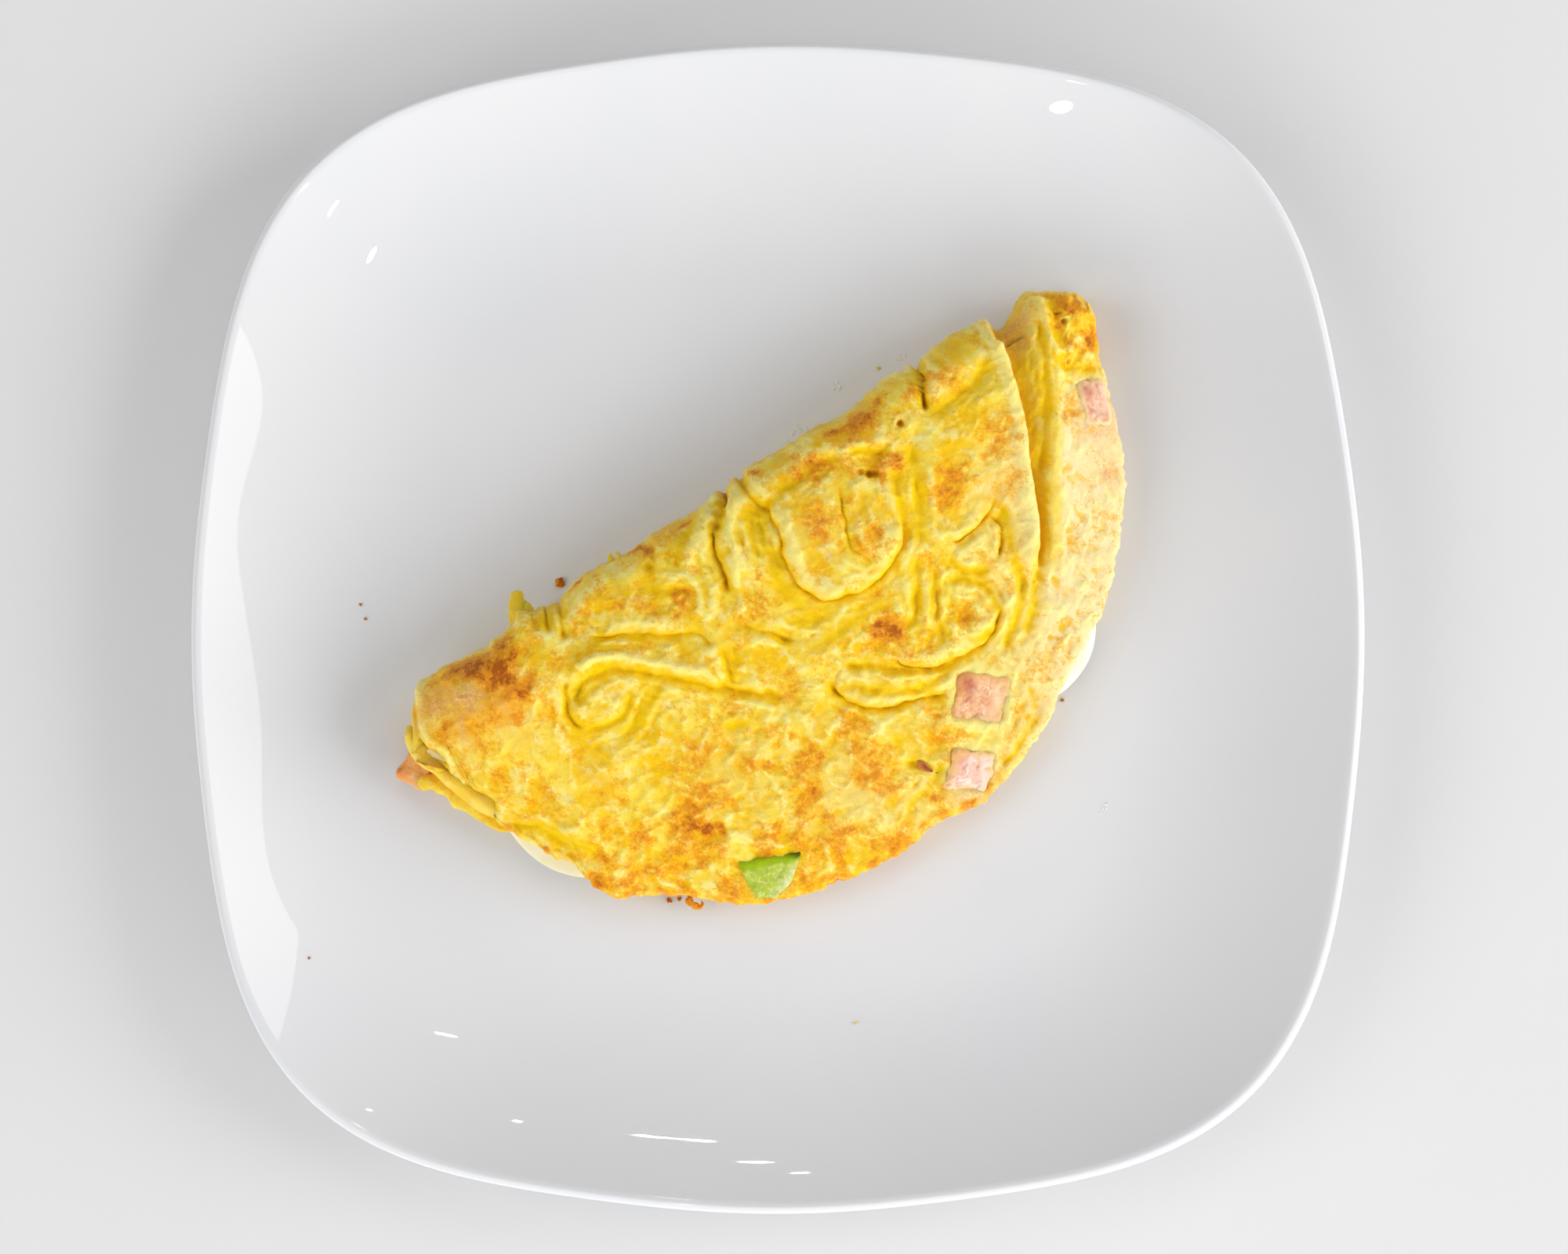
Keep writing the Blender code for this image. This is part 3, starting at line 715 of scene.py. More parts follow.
BODY_LIP = [
    (73, 5), (72.8, 0), (72, -5), (70.6, -10.5), (69.3, -15), (67.8, -19.5), (65.8, -24.5), (63.8, -29.5),
    (61, -34.5), (58.6, -39.5), (56.2, -44.5), (53.4, -49.5), (50.5, -54), (47, -59.5),
]
TIP_EDGE = [
    (-77, 6), (-80.5, -1.5), (-82.5, -5.5), (-83.5, -9), (-83.5, -12), (-82, -16), (-83, -20), (-82, -24),
    (-79.5, -27), (-76, -31),
]
# Small holes: middle, radius and depth in mm, and how strongly painted shade darkens each
HOLES = [
    ((42, -13), 0.8, 1.3, 0.6), ((85, -14), 0.7, 1.0, 0.8), ((80.5, -22), 0.45, 0.7, 0.7),
    ((33, -17.5), 3.8, 1.0, 0.0), ((28.9, -17), 0.8, 1.2, 0.7), ((30.2, -18.4), 0.9, 1.5, 0.85),
    ((31.4, -19.1), 0.7, 1.1, 0.7), ((34.6, -19), 2.2, -1.1, 0.0),
]
# Where each piece of filling shows through the skin: middle, half size and turn
SKIN_OPENINGS = [((22.6, -71.9), (5.5, 4.8), -41), ((12.2, -83.6), (4.4, 4.2), -42)]


def fold_relief(x, y):
    """Height, sideways shift, painted shade at their bottoms, and a saturated yellow painted into their
    hollows for the light glowing through the egg, that the folds give the skin at each point.
    """
    height, painted_shade, yellow = np.zeros((3, *x.shape))
    shift = np.zeros(x.shape + (2,))
    wobble_x, wobble_y = (along + 0.35 * noise(x, y, 2.6, seed) for along, seed in ((x, 11), (y, 12)))
    for points, depth, width, *extras in FOLDS:
        left, right, lean, shade, opening = (extras + [0] * 5)[:5]
        width = width * (RIDGE_WIDENING if depth < 0 else 1)
        line = smooth_line(points)
        reach = 3 * width + FOLD_REACH
        low, high = line.min(0) - reach, line.max(0) + reach
        near = (x > low[0]) & (x < high[0]) & (y > low[1]) & (y < high[1])
        px, py = wobble_x[near], wobble_y[near]
        offset, along = line_offset(px, py, line)
        far = np.abs(offset)
        span = np.hypot(*np.diff(line, axis=0).T).sum()
        fade = smooth_step((1 - along) * span, 0, 2.5 + width)
        if not opening:
            fade = fade * smooth_step(along * span, 0, 2.5 + width)
        fade = fade * (1 + 0.45 * noise(px, py, 5, 13))
        width = width * (1 + 0.35 * noise(px, py, 4, 14))
        rise = 0.58 * bump(far, 0, 0.85 * width) + 0.3 * np.exp(-far / (1.5 * width))
        rise = -depth * (rise + 0.3 * bump(far, 0, 1.8 * width + 1.6))
        bank = 0.95 * np.where(offset > 0, left, right) * smooth_step(far, 0, 2.1 * width + 0.4)
        rise = rise + bank * bump(far, 0, 2.4 * width + 2.5)
        ripple = noise(offset, along * span * 0.22, 1.9, 16) + 0.6 * noise(offset, along * span * 0.3, 1, 17)
        ripple = ripple * smooth_step(far, width, 2.4 * width + 0.5) * bump(far, 0, 5.5)
        height[near] += fade * (0.84 * rise + 0.5 * ripple)
        shade = shade * smooth_step(0.75 + noise(px, py, 6, 15))
        # Painted shade along the fold's bottom
        painted_shade[near] = np.maximum(painted_shade[near], fade * shade * bump(far, 0, 0.6 * width))
        if depth > 0:
            # Saturated yellow painted along a groove's hollow: painted shade and the glow of light through
            # the egg
            yellow[near] = np.maximum(yellow[near], fade * bump(far, 0, 0.9 * width + 0.6))
        if lean:
            side = np.clip(offset * np.sign(lean), 0, None) / width
            slide = fade * lean * side * np.exp(1 - side)
            shift[near] -= slide[:, None] * across_line(px, py, line)
    return height, shift, painted_shade, yellow


def across_line(x, y, line):
    """The direction to a line's left at the stretch nearest each point."""
    middles = (line[1:] + line[:-1]) / 2
    steps = np.diff(line, axis=0)
    steps = steps / np.hypot(*steps.T)[:, None]
    nearest = np.argmin((x[..., None] - middles[:, 0]) ** 2 + (y[..., None] - middles[:, 1]) ** 2, -1)
    return np.stack([-steps[nearest, 1], steps[nearest, 0]], -1)


def overlap_relief(x, y):
    """The right end, tucked under the body's rolled lip: a deep crease with painted shade along its bottom,
    then a smooth bulge.
    """
    line = smooth_line(BODY_LIP)
    offset, along = line_offset(x + 0.3 * noise(x, y, 4, 21), y, line)
    fade = smooth_step((1 - along) * 66, 0, 9)
    valley = 9.4 - 6.4 * smooth_step(along, 0.1, 0.95)
    depth = 2.9 - 1.2 * smooth_step(along, 0.3, 1)
    far_side = -depth * (1 - smooth_step(offset, 0.3, valley)) + 0.9 * bump(offset, valley + 1, 2.4)
    near_side = 1.5 * smooth_step(along, 0.02, 0.2) * bump(offset, -1.9, 1.7) + 0.5 * bump(offset, -5.5, 2)
    near_side = near_side - depth * bump(np.minimum(offset, 0), 0, 0.75)
    height = np.where(offset > 0, far_side, near_side) * fade
    slide = np.clip(-offset, 0, None) / 1.1
    tuck = 1.2 * fade * smooth_step(along, 0.08, 0.25) * slide * np.exp(1 - slide)
    shift = tuck[..., None] * across_line(x, y, line)
    # Painted shade along the bottom of the crease
    painted_shade = fade * 0.75 * bump(offset, 0, 0.8)
    bulge = fade * smooth_step(offset) * (1 - smooth_step(offset, valley, valley + 3))
    # Where the crease's hollow gets its saturated yellow: painted shade
    crease = fade * smooth_step(offset, -0.8, 0.4) * (1 - smooth_step(offset, 0.35 * valley, 0.8 * valley))
    return height, shift, painted_shade, bulge, crease


def opening_relief(x, y):
    """The skin torn round each piece of filling: a narrow gap with painted shade along it, then a curled
    rim.
    """
    height, painted_shade = np.zeros((2, *x.shape))
    for (cx, cy), (half_x, half_y), turn in SKIN_OPENINGS:
        a, b = turned(x - cx, y - cy, -turn)
        outside = np.hypot(np.maximum(np.abs(a) - half_x + 1, 0), np.maximum(np.abs(b) - half_y + 1, 0)) - 1
        outside = outside + 0.3 * noise(x, y, 2, 31)
        height += -3.6 * smooth_step(0.1 - outside, 0, 1.6) + 0.25 * bump(outside, 1.3, 0.9)
        # Painted shade along the narrow gap round the filling
        painted_shade = np.maximum(painted_shade, 0.15 * bump(outside, 0.1, 0.45))
    return height, painted_shade


# ---------------- browning

# Spots of browning: x, y and radius in mm, strength
BROWN_SPOTS = [
    (-68, -2.5, 6, 1.2), (-64, -4.5, 6.5, 1.35), (-61, -8.5, 7, 1.4), (-59, -13.5, 5.5, 1.15),
    (-58, -3, 5, 1.2), (-57.5, -7, 6, 0.95), (-73, -2, 4, 0.8), (-78, -12, 3.5, 0.8),
    (-72.5, -18.5, 4, 0.7), (-69.5, -16, 5, 0.8), (-66, -12.5, 4, 0.7), (-63, -18.5, 3, 0.7),
    (14.5, -48.3, 4.2, 1.35), (-5, -29.4, 4, 0.8), (-2, -24, 3, 0.6), (15.5, -20.6, 5, 0.8),
    (34.8, -19, 3.2, 1.3), (33.5, -8, 4.5, 1), (57.4, -12.4, 3, 0.7), (54, -9, 4, 0.8), (45, -29, 5, 0.8),
    (58.5, -25.8, 5, 0.6), (23, -31, 5, 0.8), (30, -55.3, 3.5, 0.8), (-26.3, -14.8, 4.5, 0.55),
    (-20, -19.2, 3, 0.6), (-56.4, -55.4, 4, 0.8), (75.9, -31, 5, 0.6), (85, -12, 4, 0.7),
    (84.5, -23.2, 3, 0.6), (-74.6, -28.4, 5, 0.6), (-68, -37, 5, 0.6), (-24.2, -64.8, 4, 0.6),
    (-22, -43.6, 4, 0.6), (-69.5, -57.6, 4, 1.15), (-64.9, -54.5, 3, 1), (-28.9, -86.5, 3, 0.8),
    (3.4, -84.2, 2.4, 0.85), (1.4, -87.2, 2, 0.8), (8.6, -91.5, 2, 0.7), (9.4, -89.2, 0.8, 1.2),
    (13.2, -89.6, 0.8, 1.2), (16.4, -88.4, 0.7, 1.1), (57, -14.4, 2.5, 0.6), (47.9, -8.1, 3, 0.9),
    (41, -5, 3, 0.9), (22, -12, 4, 0.7), (12, -5, 3, 0.5), (-47, -56.3, 2.2, 1.0), (-45.4, -58.2, 2.2, 1.1),
    (-43.9, -60.1, 2.3, 1.25), (-42.4, -61.9, 2.3, 1.45), (-41.1, -63.6, 2.2, 1.3), (-21.7, -1.8, 2.6, 1.2),
    (-9.3, -2.8, 3.4, 1.1), (-14.5, -4.5, 4, 0.85), (-18.5, -3.5, 3, 1), (-26.8, -0.8, 3.5, 0.9),
    (-31.3, -11, 4, 0.6), (-19, -17.8, 4, 0.85), (34.4, -6.4, 6, 1.15), (29, -5, 4, 1), (21.1, -8.3, 4, 1),
    (17.5, -9, 3.5, 0.9), (9.9, -3, 2.4, 1.2), (41.3, -31.4, 5, 0.85), (87.2, -8, 4, 0.9),
    (90, -12.5, 3.5, 1.1), (88.5, -21, 3, 1.2), (83.2, -19.9, 3, 0.9), (84.7, -4.5, 3, 0.9),
    (-53.2, -64, 4, 0.75), (-36, -1.2, 3, 0.9),
]
PINK_SPOTS = [
    (-64.5, -14, 7, 0.8), (-70.5, -9, 7, 0.85), (-77, -6, 6, 1.0), (-74, -13, 5, 0.8),
    (11.5, -88.2, 4.5, 0.65), (16, -85.5, 3.5, 0.6), (7, -85.5, 3, 0.4), (74.5, -47.5, 2.5, 0.9),
    (75.5, -7, 5, 0.8), (74, -12, 3.5, 0.6), (80, -36, 7, 0.5),
]
PALE_SPOTS = [
    (10.5, -88.3, 4, 0.8), (15, -87, 3, 0.7), (6.5, -87.5, 3, 0.6), (-1, -83, 6, 0.45), (-12, -75, 9, 0.35),
]
COOL_SPOTS = [
    (-30, -56, 9, 0.8), (-8, -70, 10, 0.8), (-22, -72, 8, 0.7), (2, -58, 7, 0.6), (-77.5, -19.5, 4, 0.7),
    (-64, -22.5, 5, 0.6), (-56.5, -38.5, 5, 0.6), (8, -73, 9, 0.6), (16, -22, 12, 0.5), (-15, -62, 10, 0.5),
    (30, -76, 8, 0.5),
]


def spotted(x, y, spots):
    """How strongly soft-edged, uneven spots cover each point."""
    warp_x = x + 1.7 * noise(x, y, 5, 41) + 0.8 * noise(x, y, 2, 42)
    warp_y = y + 1.7 * noise(x, y, 5, 43) + 0.8 * noise(x, y, 2, 44)
    total = np.zeros(x.shape)
    for cx, cy, radius, strength in spots:
        side = 1 - np.clip(-cy / NOSE_RADIUS, 0, 1)
        cy = cy + FOLD_THICKNESS / 2 * (1 - math.sqrt(1 - side**2))
        far = np.hypot(warp_x - cx, warp_y - cy) / radius
        total = np.maximum(total, strength * (1 - smooth_step(far, 0.05, 1.5)))
    return total


# ---------------- egg

# By angle along the round side: how far the upper leaf stands in, and the lower leaf's radius
UPPER_INSET = ((-81.5, -79, -76.5, -74, -71, -67, -63), (3.3, 5, 5.8, 6, 5.5, 2, 0))
LOWER_RADIUS = ((-81.5, -79.5, -77.7, -75.5, -71.4, -69.4, -66, -62, 84),
                (91.5, 92.6, 91.6, 90, 89.2, 88.1, 88.4, 87, 89.5))
BOTTOM, NOSE, TOP, RIM, MOUTH = range(5)  # the kinds of row that a section has
UP_ROW = BOTTOM_ROWS + NOSE_ROWS + 60  # a row whose surface faces up all along

# The skin's grain: its noise, strength, how much more it has on the lower half, size in mm and seed
SKIN_GRAIN = [(noise, 0.4, 0, 7, 61), (noise, 0.14, 0.11, 2.6, 62), (noise, 0.08, 0.06, 1.3, 64),
              (wrinkles, 0.3, 0.12, 6.5, 63), (wrinkles, 0.17, 0.12, 3.1, 65)]


def half_turn(count):
    """Angles from 0 to pi, without those two."""
    return np.linspace(0, np.pi, count + 2)[1:-1]


def egg_columns(share):
    """From above, column by column: where the egg starts on its folded side, the way from there to its
    round side, that way's length, and the length of its lower leaf."""
    fold_x = FOLD_HALF_LENGTH * share
    fold_x = np.where(share < -0.85, -79 + (share + 0.85) * 77.5, fold_x)
    fold_y = fold_edge(fold_x) - 3.7 * smooth_step(-fold_x, 83, 88.3)
    fold_y += 1.4 * bump(fold_x, -50.2, 1.7) - 4.2 * bump(fold_x, -48, 4.2)
    start = np.stack([fold_x, fold_y - 0.4 + 0.4 * noise(fold_x, 0, 2.2, 51)])
    degrees = ARC_END_ANGLE * share
    inset = np.interp(degrees, *UPPER_INSET)
    ragged = 0.5 * noise(degrees, 0, 2.6, 52) + 0.4 * noise(degrees, 0, 0.8, 53)
    upper = arc_radius(degrees) - inset + ragged
    lower = np.interp(degrees, *LOWER_RADIUS)
    lower = np.where(degrees > -68, np.minimum(lower, upper - 1.2), lower) + 0.4 * noise(degrees, 0, 2, 54)
    angle = np.radians(degrees)
    end = np.stack([upper * np.sin(angle), -upper * np.cos(angle)])
    # Both ends of the last columns draw in, so that the right end is round from above
    last = 1 - np.clip((LAST_SHARE - share) * FOLD_HALF_LENGTH / 5, 0, 1)
    drawn_in = np.minimum(2.2 * (1 - np.sqrt(1 - last**2)) / np.hypot(*(end - start)), 0.3)
    start, end = start + (end - start) * drawn_in, end - (end - start) * drawn_in
    run = end - start
    length = np.hypot(*run)
    return start, run, length, np.maximum(length + (lower - upper), 0.75 * length)


def egg_rows(share, start, run, length, lip):
    """One closed section a column: along the bottom, round the nose, over the top and in at the mouth.

    Each row is how far in it lies from the folded side, its height and its kind. The nose's radius and
    height are given back too.
    """
    degrees = ARC_END_ANGLE * share
    nose = np.minimum(NOSE_RADIUS, 0.45 * length)
    mouth = np.minimum(MOUTH_DEPTH, 0.4 * length)
    edge = np.minimum(RIM_ROUNDING, 0.2 * length)

    def top(inward):
        at = start + run * (inward / length)
        return top_height(at[0], at[1], inward, length, share)

    nose_top, rim = top(nose), top(length - edge)
    slices = bump(degrees, -59, 9) + bump(degrees, 31, 7.5)
    gap = np.minimum(MOUTH_GAP, 0.15 * rim) + 2.4 * slices
    seam = np.minimum(LOWER_LEAF, 0.42 * rim)
    under = np.minimum(seam + gap, rim - 1.5)
    rows = []
    for k in range(BOTTOM_ROWS):
        rows.append((lip - edge - (lip - edge - nose) * k / BOTTOM_ROWS, 0 * share, BOTTOM))
    for turn in np.arange(NOSE_ROWS) * np.pi / NOSE_ROWS:
        rows.append((nose - nose * np.sin(turn), nose_top / 2 * (1 - np.cos(turn)), NOSE))
    for inward in (nose + (length - edge - nose) * k / TOP_ROWS for k in range(TOP_ROWS + 1)):
        rows.append((inward, top(inward), TOP))
    for turn in half_turn(RIM_ROWS):
        height = (rim + under) / 2 + (rim - under) / 2 * np.cos(turn)
        rows.append((length - edge + edge * np.sin(turn), height, RIM))
    for k in np.linspace(0, 1, MOUTH_ROWS):
        rows.append((length - edge - (mouth - edge) * k, under, MOUTH))
    for k in np.linspace(0, 1, MOUTH_ROWS):
        rows.append((length - mouth + (lip - edge - length + mouth) * k, seam, MOUTH))
    for turn in half_turn(LIP_ROWS):
        rows.append((lip - edge + edge * np.sin(turn), seam / 2 * (1 + np.cos(turn)), RIM))
    return rows, nose, nose_top


def skin_relief(x, y, unrolled, skin_y, warp_x, warp_y, lower_half):
    """All that shapes the skin: its height, shift and painted shade, then how much each point belongs to a
    fold, to the right end's bulge and to the crease beside it."""
    folds, shift, painted_shade, yellow = fold_relief(x, unrolled)
    step, tuck, step_painted_shade, bulge, crease = overlap_relief(x, unrolled)
    torn, torn_painted_shade = opening_relief(x, y)
    crumple = -0.1
    for grain, strength, more, size, seed in SKIN_GRAIN:
        at = (warp_x, warp_y) if grain is wrinkles else (x, skin_y)
        crumple = crumple + (strength + more * lower_half) * grain(*at, size, seed)
    relief = folds + step + torn + crumple * (1 - 0.55 * bulge)
    for (cx, cy), radius, depth, shade in HOLES:
        hole = np.exp(-((np.hypot(x - cx, y - cy) / radius) ** 4))
        relief -= depth * hole
        # Painted shade darkens the hole
        painted_shade = np.maximum(painted_shade, shade * hole)
    return relief, shift + tuck, np.maximum(np.maximum(painted_shade, step_painted_shade), torn_painted_shade), yellow, bulge, crease


def build_egg(finish):
    share = np.linspace(FIRST_SHARE, LAST_SHARE, EGG_COLUMNS + 1)
    degrees = ARC_END_ANGLE * share
    start, run, length, lip = egg_columns(share)
    rows, nose, nose_top = egg_rows(share, start, run, length, lip)
    inward, base, kind = (np.array(column) for column in zip(*rows))
    kind = kind[:, None]
    x, y = (start[i] + run[i] * inward / length for i in (0, 1))
    # Under the folded side the folds go on downwards as if it were unrolled
    below = (kind == NOSE) & (np.arange(len(rows))[:, None] < BOTTOM_ROWS + NOSE_ROWS // 2)
    unrolled = np.where(below, 2 * start[1] - y, y)
    # Down the folded side the grain goes on at its own pace, not drawn out
    skin_y = y + np.where(kind == NOSE, nose_top - base, 0)
    warp_x, warp_y = (along + 1.5 * noise(x, skin_y, 7, seed) for along, seed in ((x, 66), (skin_y, 67)))
    lower_half = smooth_step(-y, 40, 60)
    relief, shift, painted_shade, yellow, bulge, crease = skin_relief(
        x, y, unrolled, skin_y, warp_x, warp_y, lower_half)
    relief = relief - FOLD_SINK * (1 - smooth_step(inward - nose, 0, 9)) * (kind > BOTTOM)
    # At the left tip the skin has an edge, and the shelf beyond it lies lower
    tip, along = line_offset(x, unrolled, smooth_line(TIP_EDGE))
    at_tip = (x < -70) * (1 - smooth_step(along, 0.86, 1))
    shelf = smooth_step(-tip, 0, 1.6) * at_tip
    relief += 0.8 * bump(tip, 1.2, 1.3) * at_tip
    # Painted shade in a thin line just beyond the tip's edge, where the shelf lies lower
    painted_shade = np.maximum(painted_shade, 0.4 * bump(tip, -0.8, 0.7) * (x < -78) * (y > -28))

    weight = np.where(kind == TOP, 0.25 + 0.75 * smooth_step(length - inward, 0, 3), 0)
    weight = weight + smooth_step(base, 0.3, 3) * (kind == NOSE)
    weight = weight * smooth_step((LAST_SHARE - share) * FOLD_HALF_LENGTH, 0.5, 4)
    sunk = np.minimum(base, 5.2 + 0.8 * noise(x, y, 3, 71))
    base = np.where(kind == TOP, base + (sunk - base) * shelf, base)
    relief = relief * (1 - 0.5 * shelf)

    points = place(x, y, base + TOUCH_GAP)
    normal = np.cross(np.gradient(points, axis=1), np.roll(points, -1, 0) - np.roll(points, 1, 0))
    normal /= np.linalg.norm(normal, axis=-1, keepdims=True) + 1e-9
    normal *= np.where(normal[UP_ROW, :, 2:] > 0, 1, -1)
    points += normal * (relief * weight)[..., None]
    slide = shift * (weight * (kind == TOP))[..., None]
    points[..., :2] += np.stack(turned(slide[..., 0], slide[..., 1], OMELETTE_TURN), -1)
    # The rims of both leaves waver up and down
    waver = 0.35 * noise(x, y, 3.4, 72) + 0.2 * noise(x, y, 1.4, 73)
    points[..., 2] += np.where(kind == RIM, waver * smooth_step(base, 1, 4), 0)
    points[..., 2] = np.minimum(points[..., 2], TOP_LIMIT)

    # crest: the skin's height over its blurred surroundings; the egg finish paints a highlight where it is
    # high and shade where it is low
    crest = 0.5 * (relief - blurred(relief, 3)) + 0.5 * (relief - blurred(relief, 9))
    edge_brown = 0.75 * (1 - smooth_step(length - inward, 0.6, 2.6)) * (kind == TOP)
    edge_brown = np.maximum(edge_brown, 0.8 * (kind >= RIM) * (base > 3.3))
    edge_brown = edge_brown * smooth_step(0.45 + 0.8 * noise(degrees, 0, 3, 74), 0, 0.8)
    edge_brown = edge_brown * (1 - 0.7 * smooth_step(degrees, 15, 30))
    brown = np.maximum(spotted(x, skin_y, BROWN_SPOTS), edge_brown) * (kind > BOTTOM)
    lower_left = lower_half * (1 - 0.75 * smooth_step(x, -14, 8))
    mottle = 0.22 * lower_left + sum(noise(warp_x, warp_y, 8.5 / 2**k, 75 + k) / 2**k for k in range(4))
    mottle = smooth_step(mottle, -0.35, 0.75) * (0.48 + 0.3 * lower_left) * (1 - 0.8 * yellow)
    brown = np.maximum(brown, mottle) * (1 - 0.3 * np.clip(crest * 2, 0, 1))
    rightward = x * 0.85 - y * 0.52
    brown = brown * (1 - 0.5 * smooth_step(rightward, 52, 80) * smooth_step(-y, 30, 44))
    pale = smooth_step(rightward, 50, 80) * (1 - bulge) * smooth_step(-y, 20, 34)
    # The fold hollows' and the tuck crease's saturated yellow is painted shade and glow; the bulge's yellow
    # is its own
    yellow = np.maximum(np.maximum(yellow, 0.42 * bulge), 0.75 * crease)
    on_skin = (kind == NOSE) | (kind == TOP)
    attributes = {
        "painted_shade": painted_shade * (kind > BOTTOM),
        "crest": np.clip(crest, -1.5, 1.5) * on_skin,
        "yellow": np.clip(yellow, 0, 1) * on_skin,
        "brown": brown * (1 - 0.85 * bulge * smooth_step(-y, 6, 12)) * (1 - 0.7 * painted_shade),
        "pink": spotted(x, skin_y, PINK_SPOTS),
        "cool": spotted(x, skin_y, COOL_SPOTS),
        "pale": np.maximum(pale, spotted(x, skin_y, PALE_SPOTS)),
    }
    rings, count = points.shape[:2]
    faces = ring_faces(rings, count)
    faces += [tuple(i * count for i in range(rings)), tuple((i + 1) * count - 1 for i in range(rings))]
    egg = make_piece("egg_skin", points.reshape(-1, 3), faces, finish, attributes)
    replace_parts(egg, "egg")


# ---------------- fillings

CHEESE_THICKNESS = 2.2
CHEESE_DROOP = 2.4
CHEESE_POINTS = 96
DICE_CUTS = 15
PEPPER_POINTS = 60

# Each slice: middle, turn, half its side and its corner's radius as in the CAD, then its material and
# its two colours
CHEESE_SLICES = {
    "cheese_left": ((-50.9, -34.3), -20, 28, 22, "cheese_cream", (242, 236, 208), (238, 230, 190)),
    # The right slice is the same cheese painted whiter: a painted highlight for the stronger light on it
    "cheese_right": ((28, -44.6), -15, 33, 18.5, "cheese_painted_lit", (253, 251, 236), (250, 246, 220)),
}
# Each piece of ham: middle and height over the plate, turn, tip about the omelette's X and Y, sides and
# rounding, then its material, the colours of its flesh, deep parts, fat and rim, and the rim's strength
HAM = {
    "ham_square": ((22.6, -71.9, 10.8), -41, (14, 2), (12.6, 11.2, 4.4), 1.1,
                   "ham_tan", (233, 170, 124), (198, 108, 90), (250, 214, 172), (242, 184, 96), 0.6),
    "ham_edge": ((11.8, -83.6, 8.8), -43, (20, 2), (10.4, 10, 4), 1.6,
                 "ham_rosy", (241, 196, 170), (216, 146, 124), (252, 230, 218), (250, 204, 124), 0.8),
    "ham_side": ((79.9, -32.1, 10.7), -28, (18, 30), (8.6, 11.4, 4.6), 2.2,
                 "ham_mauve", (232, 176, 146), (206, 136, 112), (246, 212, 180), (251, 218, 160), 0.9),
    "ham_sliver": ((4.6, -77.9, 10.6), -66, (16, 0), (5.6, 1.3, 2.2), 0.7,
                   "ham_red", (150, 78, 44), (122, 52, 30), (176, 98, 54), (238, 164, 88), 0.5),
    "ham_tip": ((-89, -13.2, 4.4), 25, (0, 0), (9.4, 7, 5), 1.1,
                "ham_orange", (250, 184, 104), (238, 152, 84), (252, 208, 150), (238, 164, 88), 0.5),
}
PEPPER_AT = ((-37.4, -78, 8.9), -28, (14, -6))
PEPPER_THICKNESS = 3
PEPPER_OUTLINE = [(-7.2, 4.4), (7.6, 5.2), (5.2, -1.6), (0.6, -5.2), (-3.6, -4.8), (-5.6, -1)]


def lay(points, spot, turn, tip):
    """Points turned about their own upright, tipped about the omelette's X and Y, and put in place."""
    turns = ((OMELETTE_TURN, "Z"), (tip[0], "X"), (tip[1], "Y"), (turn, "Z"))
    matrix = Matrix.Identity(3)
    for degrees, axis in turns:
        matrix = matrix @ Matrix.Rotation(math.radians(degrees), 3, axis)
    return points @ np.array(matrix).T + place(*spot)


def solid_noise(points, size, seed):
    """Noise in space, about -1 to 1, at each point."""
    return np.array([solid.noise(Vector(point) / size + Vector((seed, 0, 0))) for point in points])


def cheese_slice(name, middle, turn, half, corner, finish):
    angle = 2 * np.pi * (np.arange(CHEESE_POINTS) + 0.5) / CHEESE_POINTS
    reach = corner + 0.25 * noise(np.arange(CHEESE_POINTS) * 0.5, 0, 4, 91)
    a, b = (np.copysign(half - corner, way) + reach * way for way in (np.cos(angle), np.sin(angle)))

    def surface(flat, share, level):
        x, y = flat.T
        rim = arc_radius(np.degrees(np.arctan2(x, -y))) - 2.5
        under = LOWER_LEAF + 2 * TOUCH_GAP - CHEESE_DROOP * smooth_step((np.hypot(x, y) - rim) / 6)
        return place(x, y, under + CHEESE_THICKNESS * (1 + level) / 2 + 0.12 * noise(x, y, 5, 92))

    flat = np.linspace(0.1, 0.9, 9)
    levels = [(share, -1) for share in flat] + round_side(9, 0.035) + [(share, 1) for share in flat[::-1]]
    outline = np.array(middle) + np.stack(turned(a, b, turn), -1)
    points, faces = slab(outline, np.array(middle), levels, surface)
    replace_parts(make_piece(name + "_slice", points, faces, finish), name)


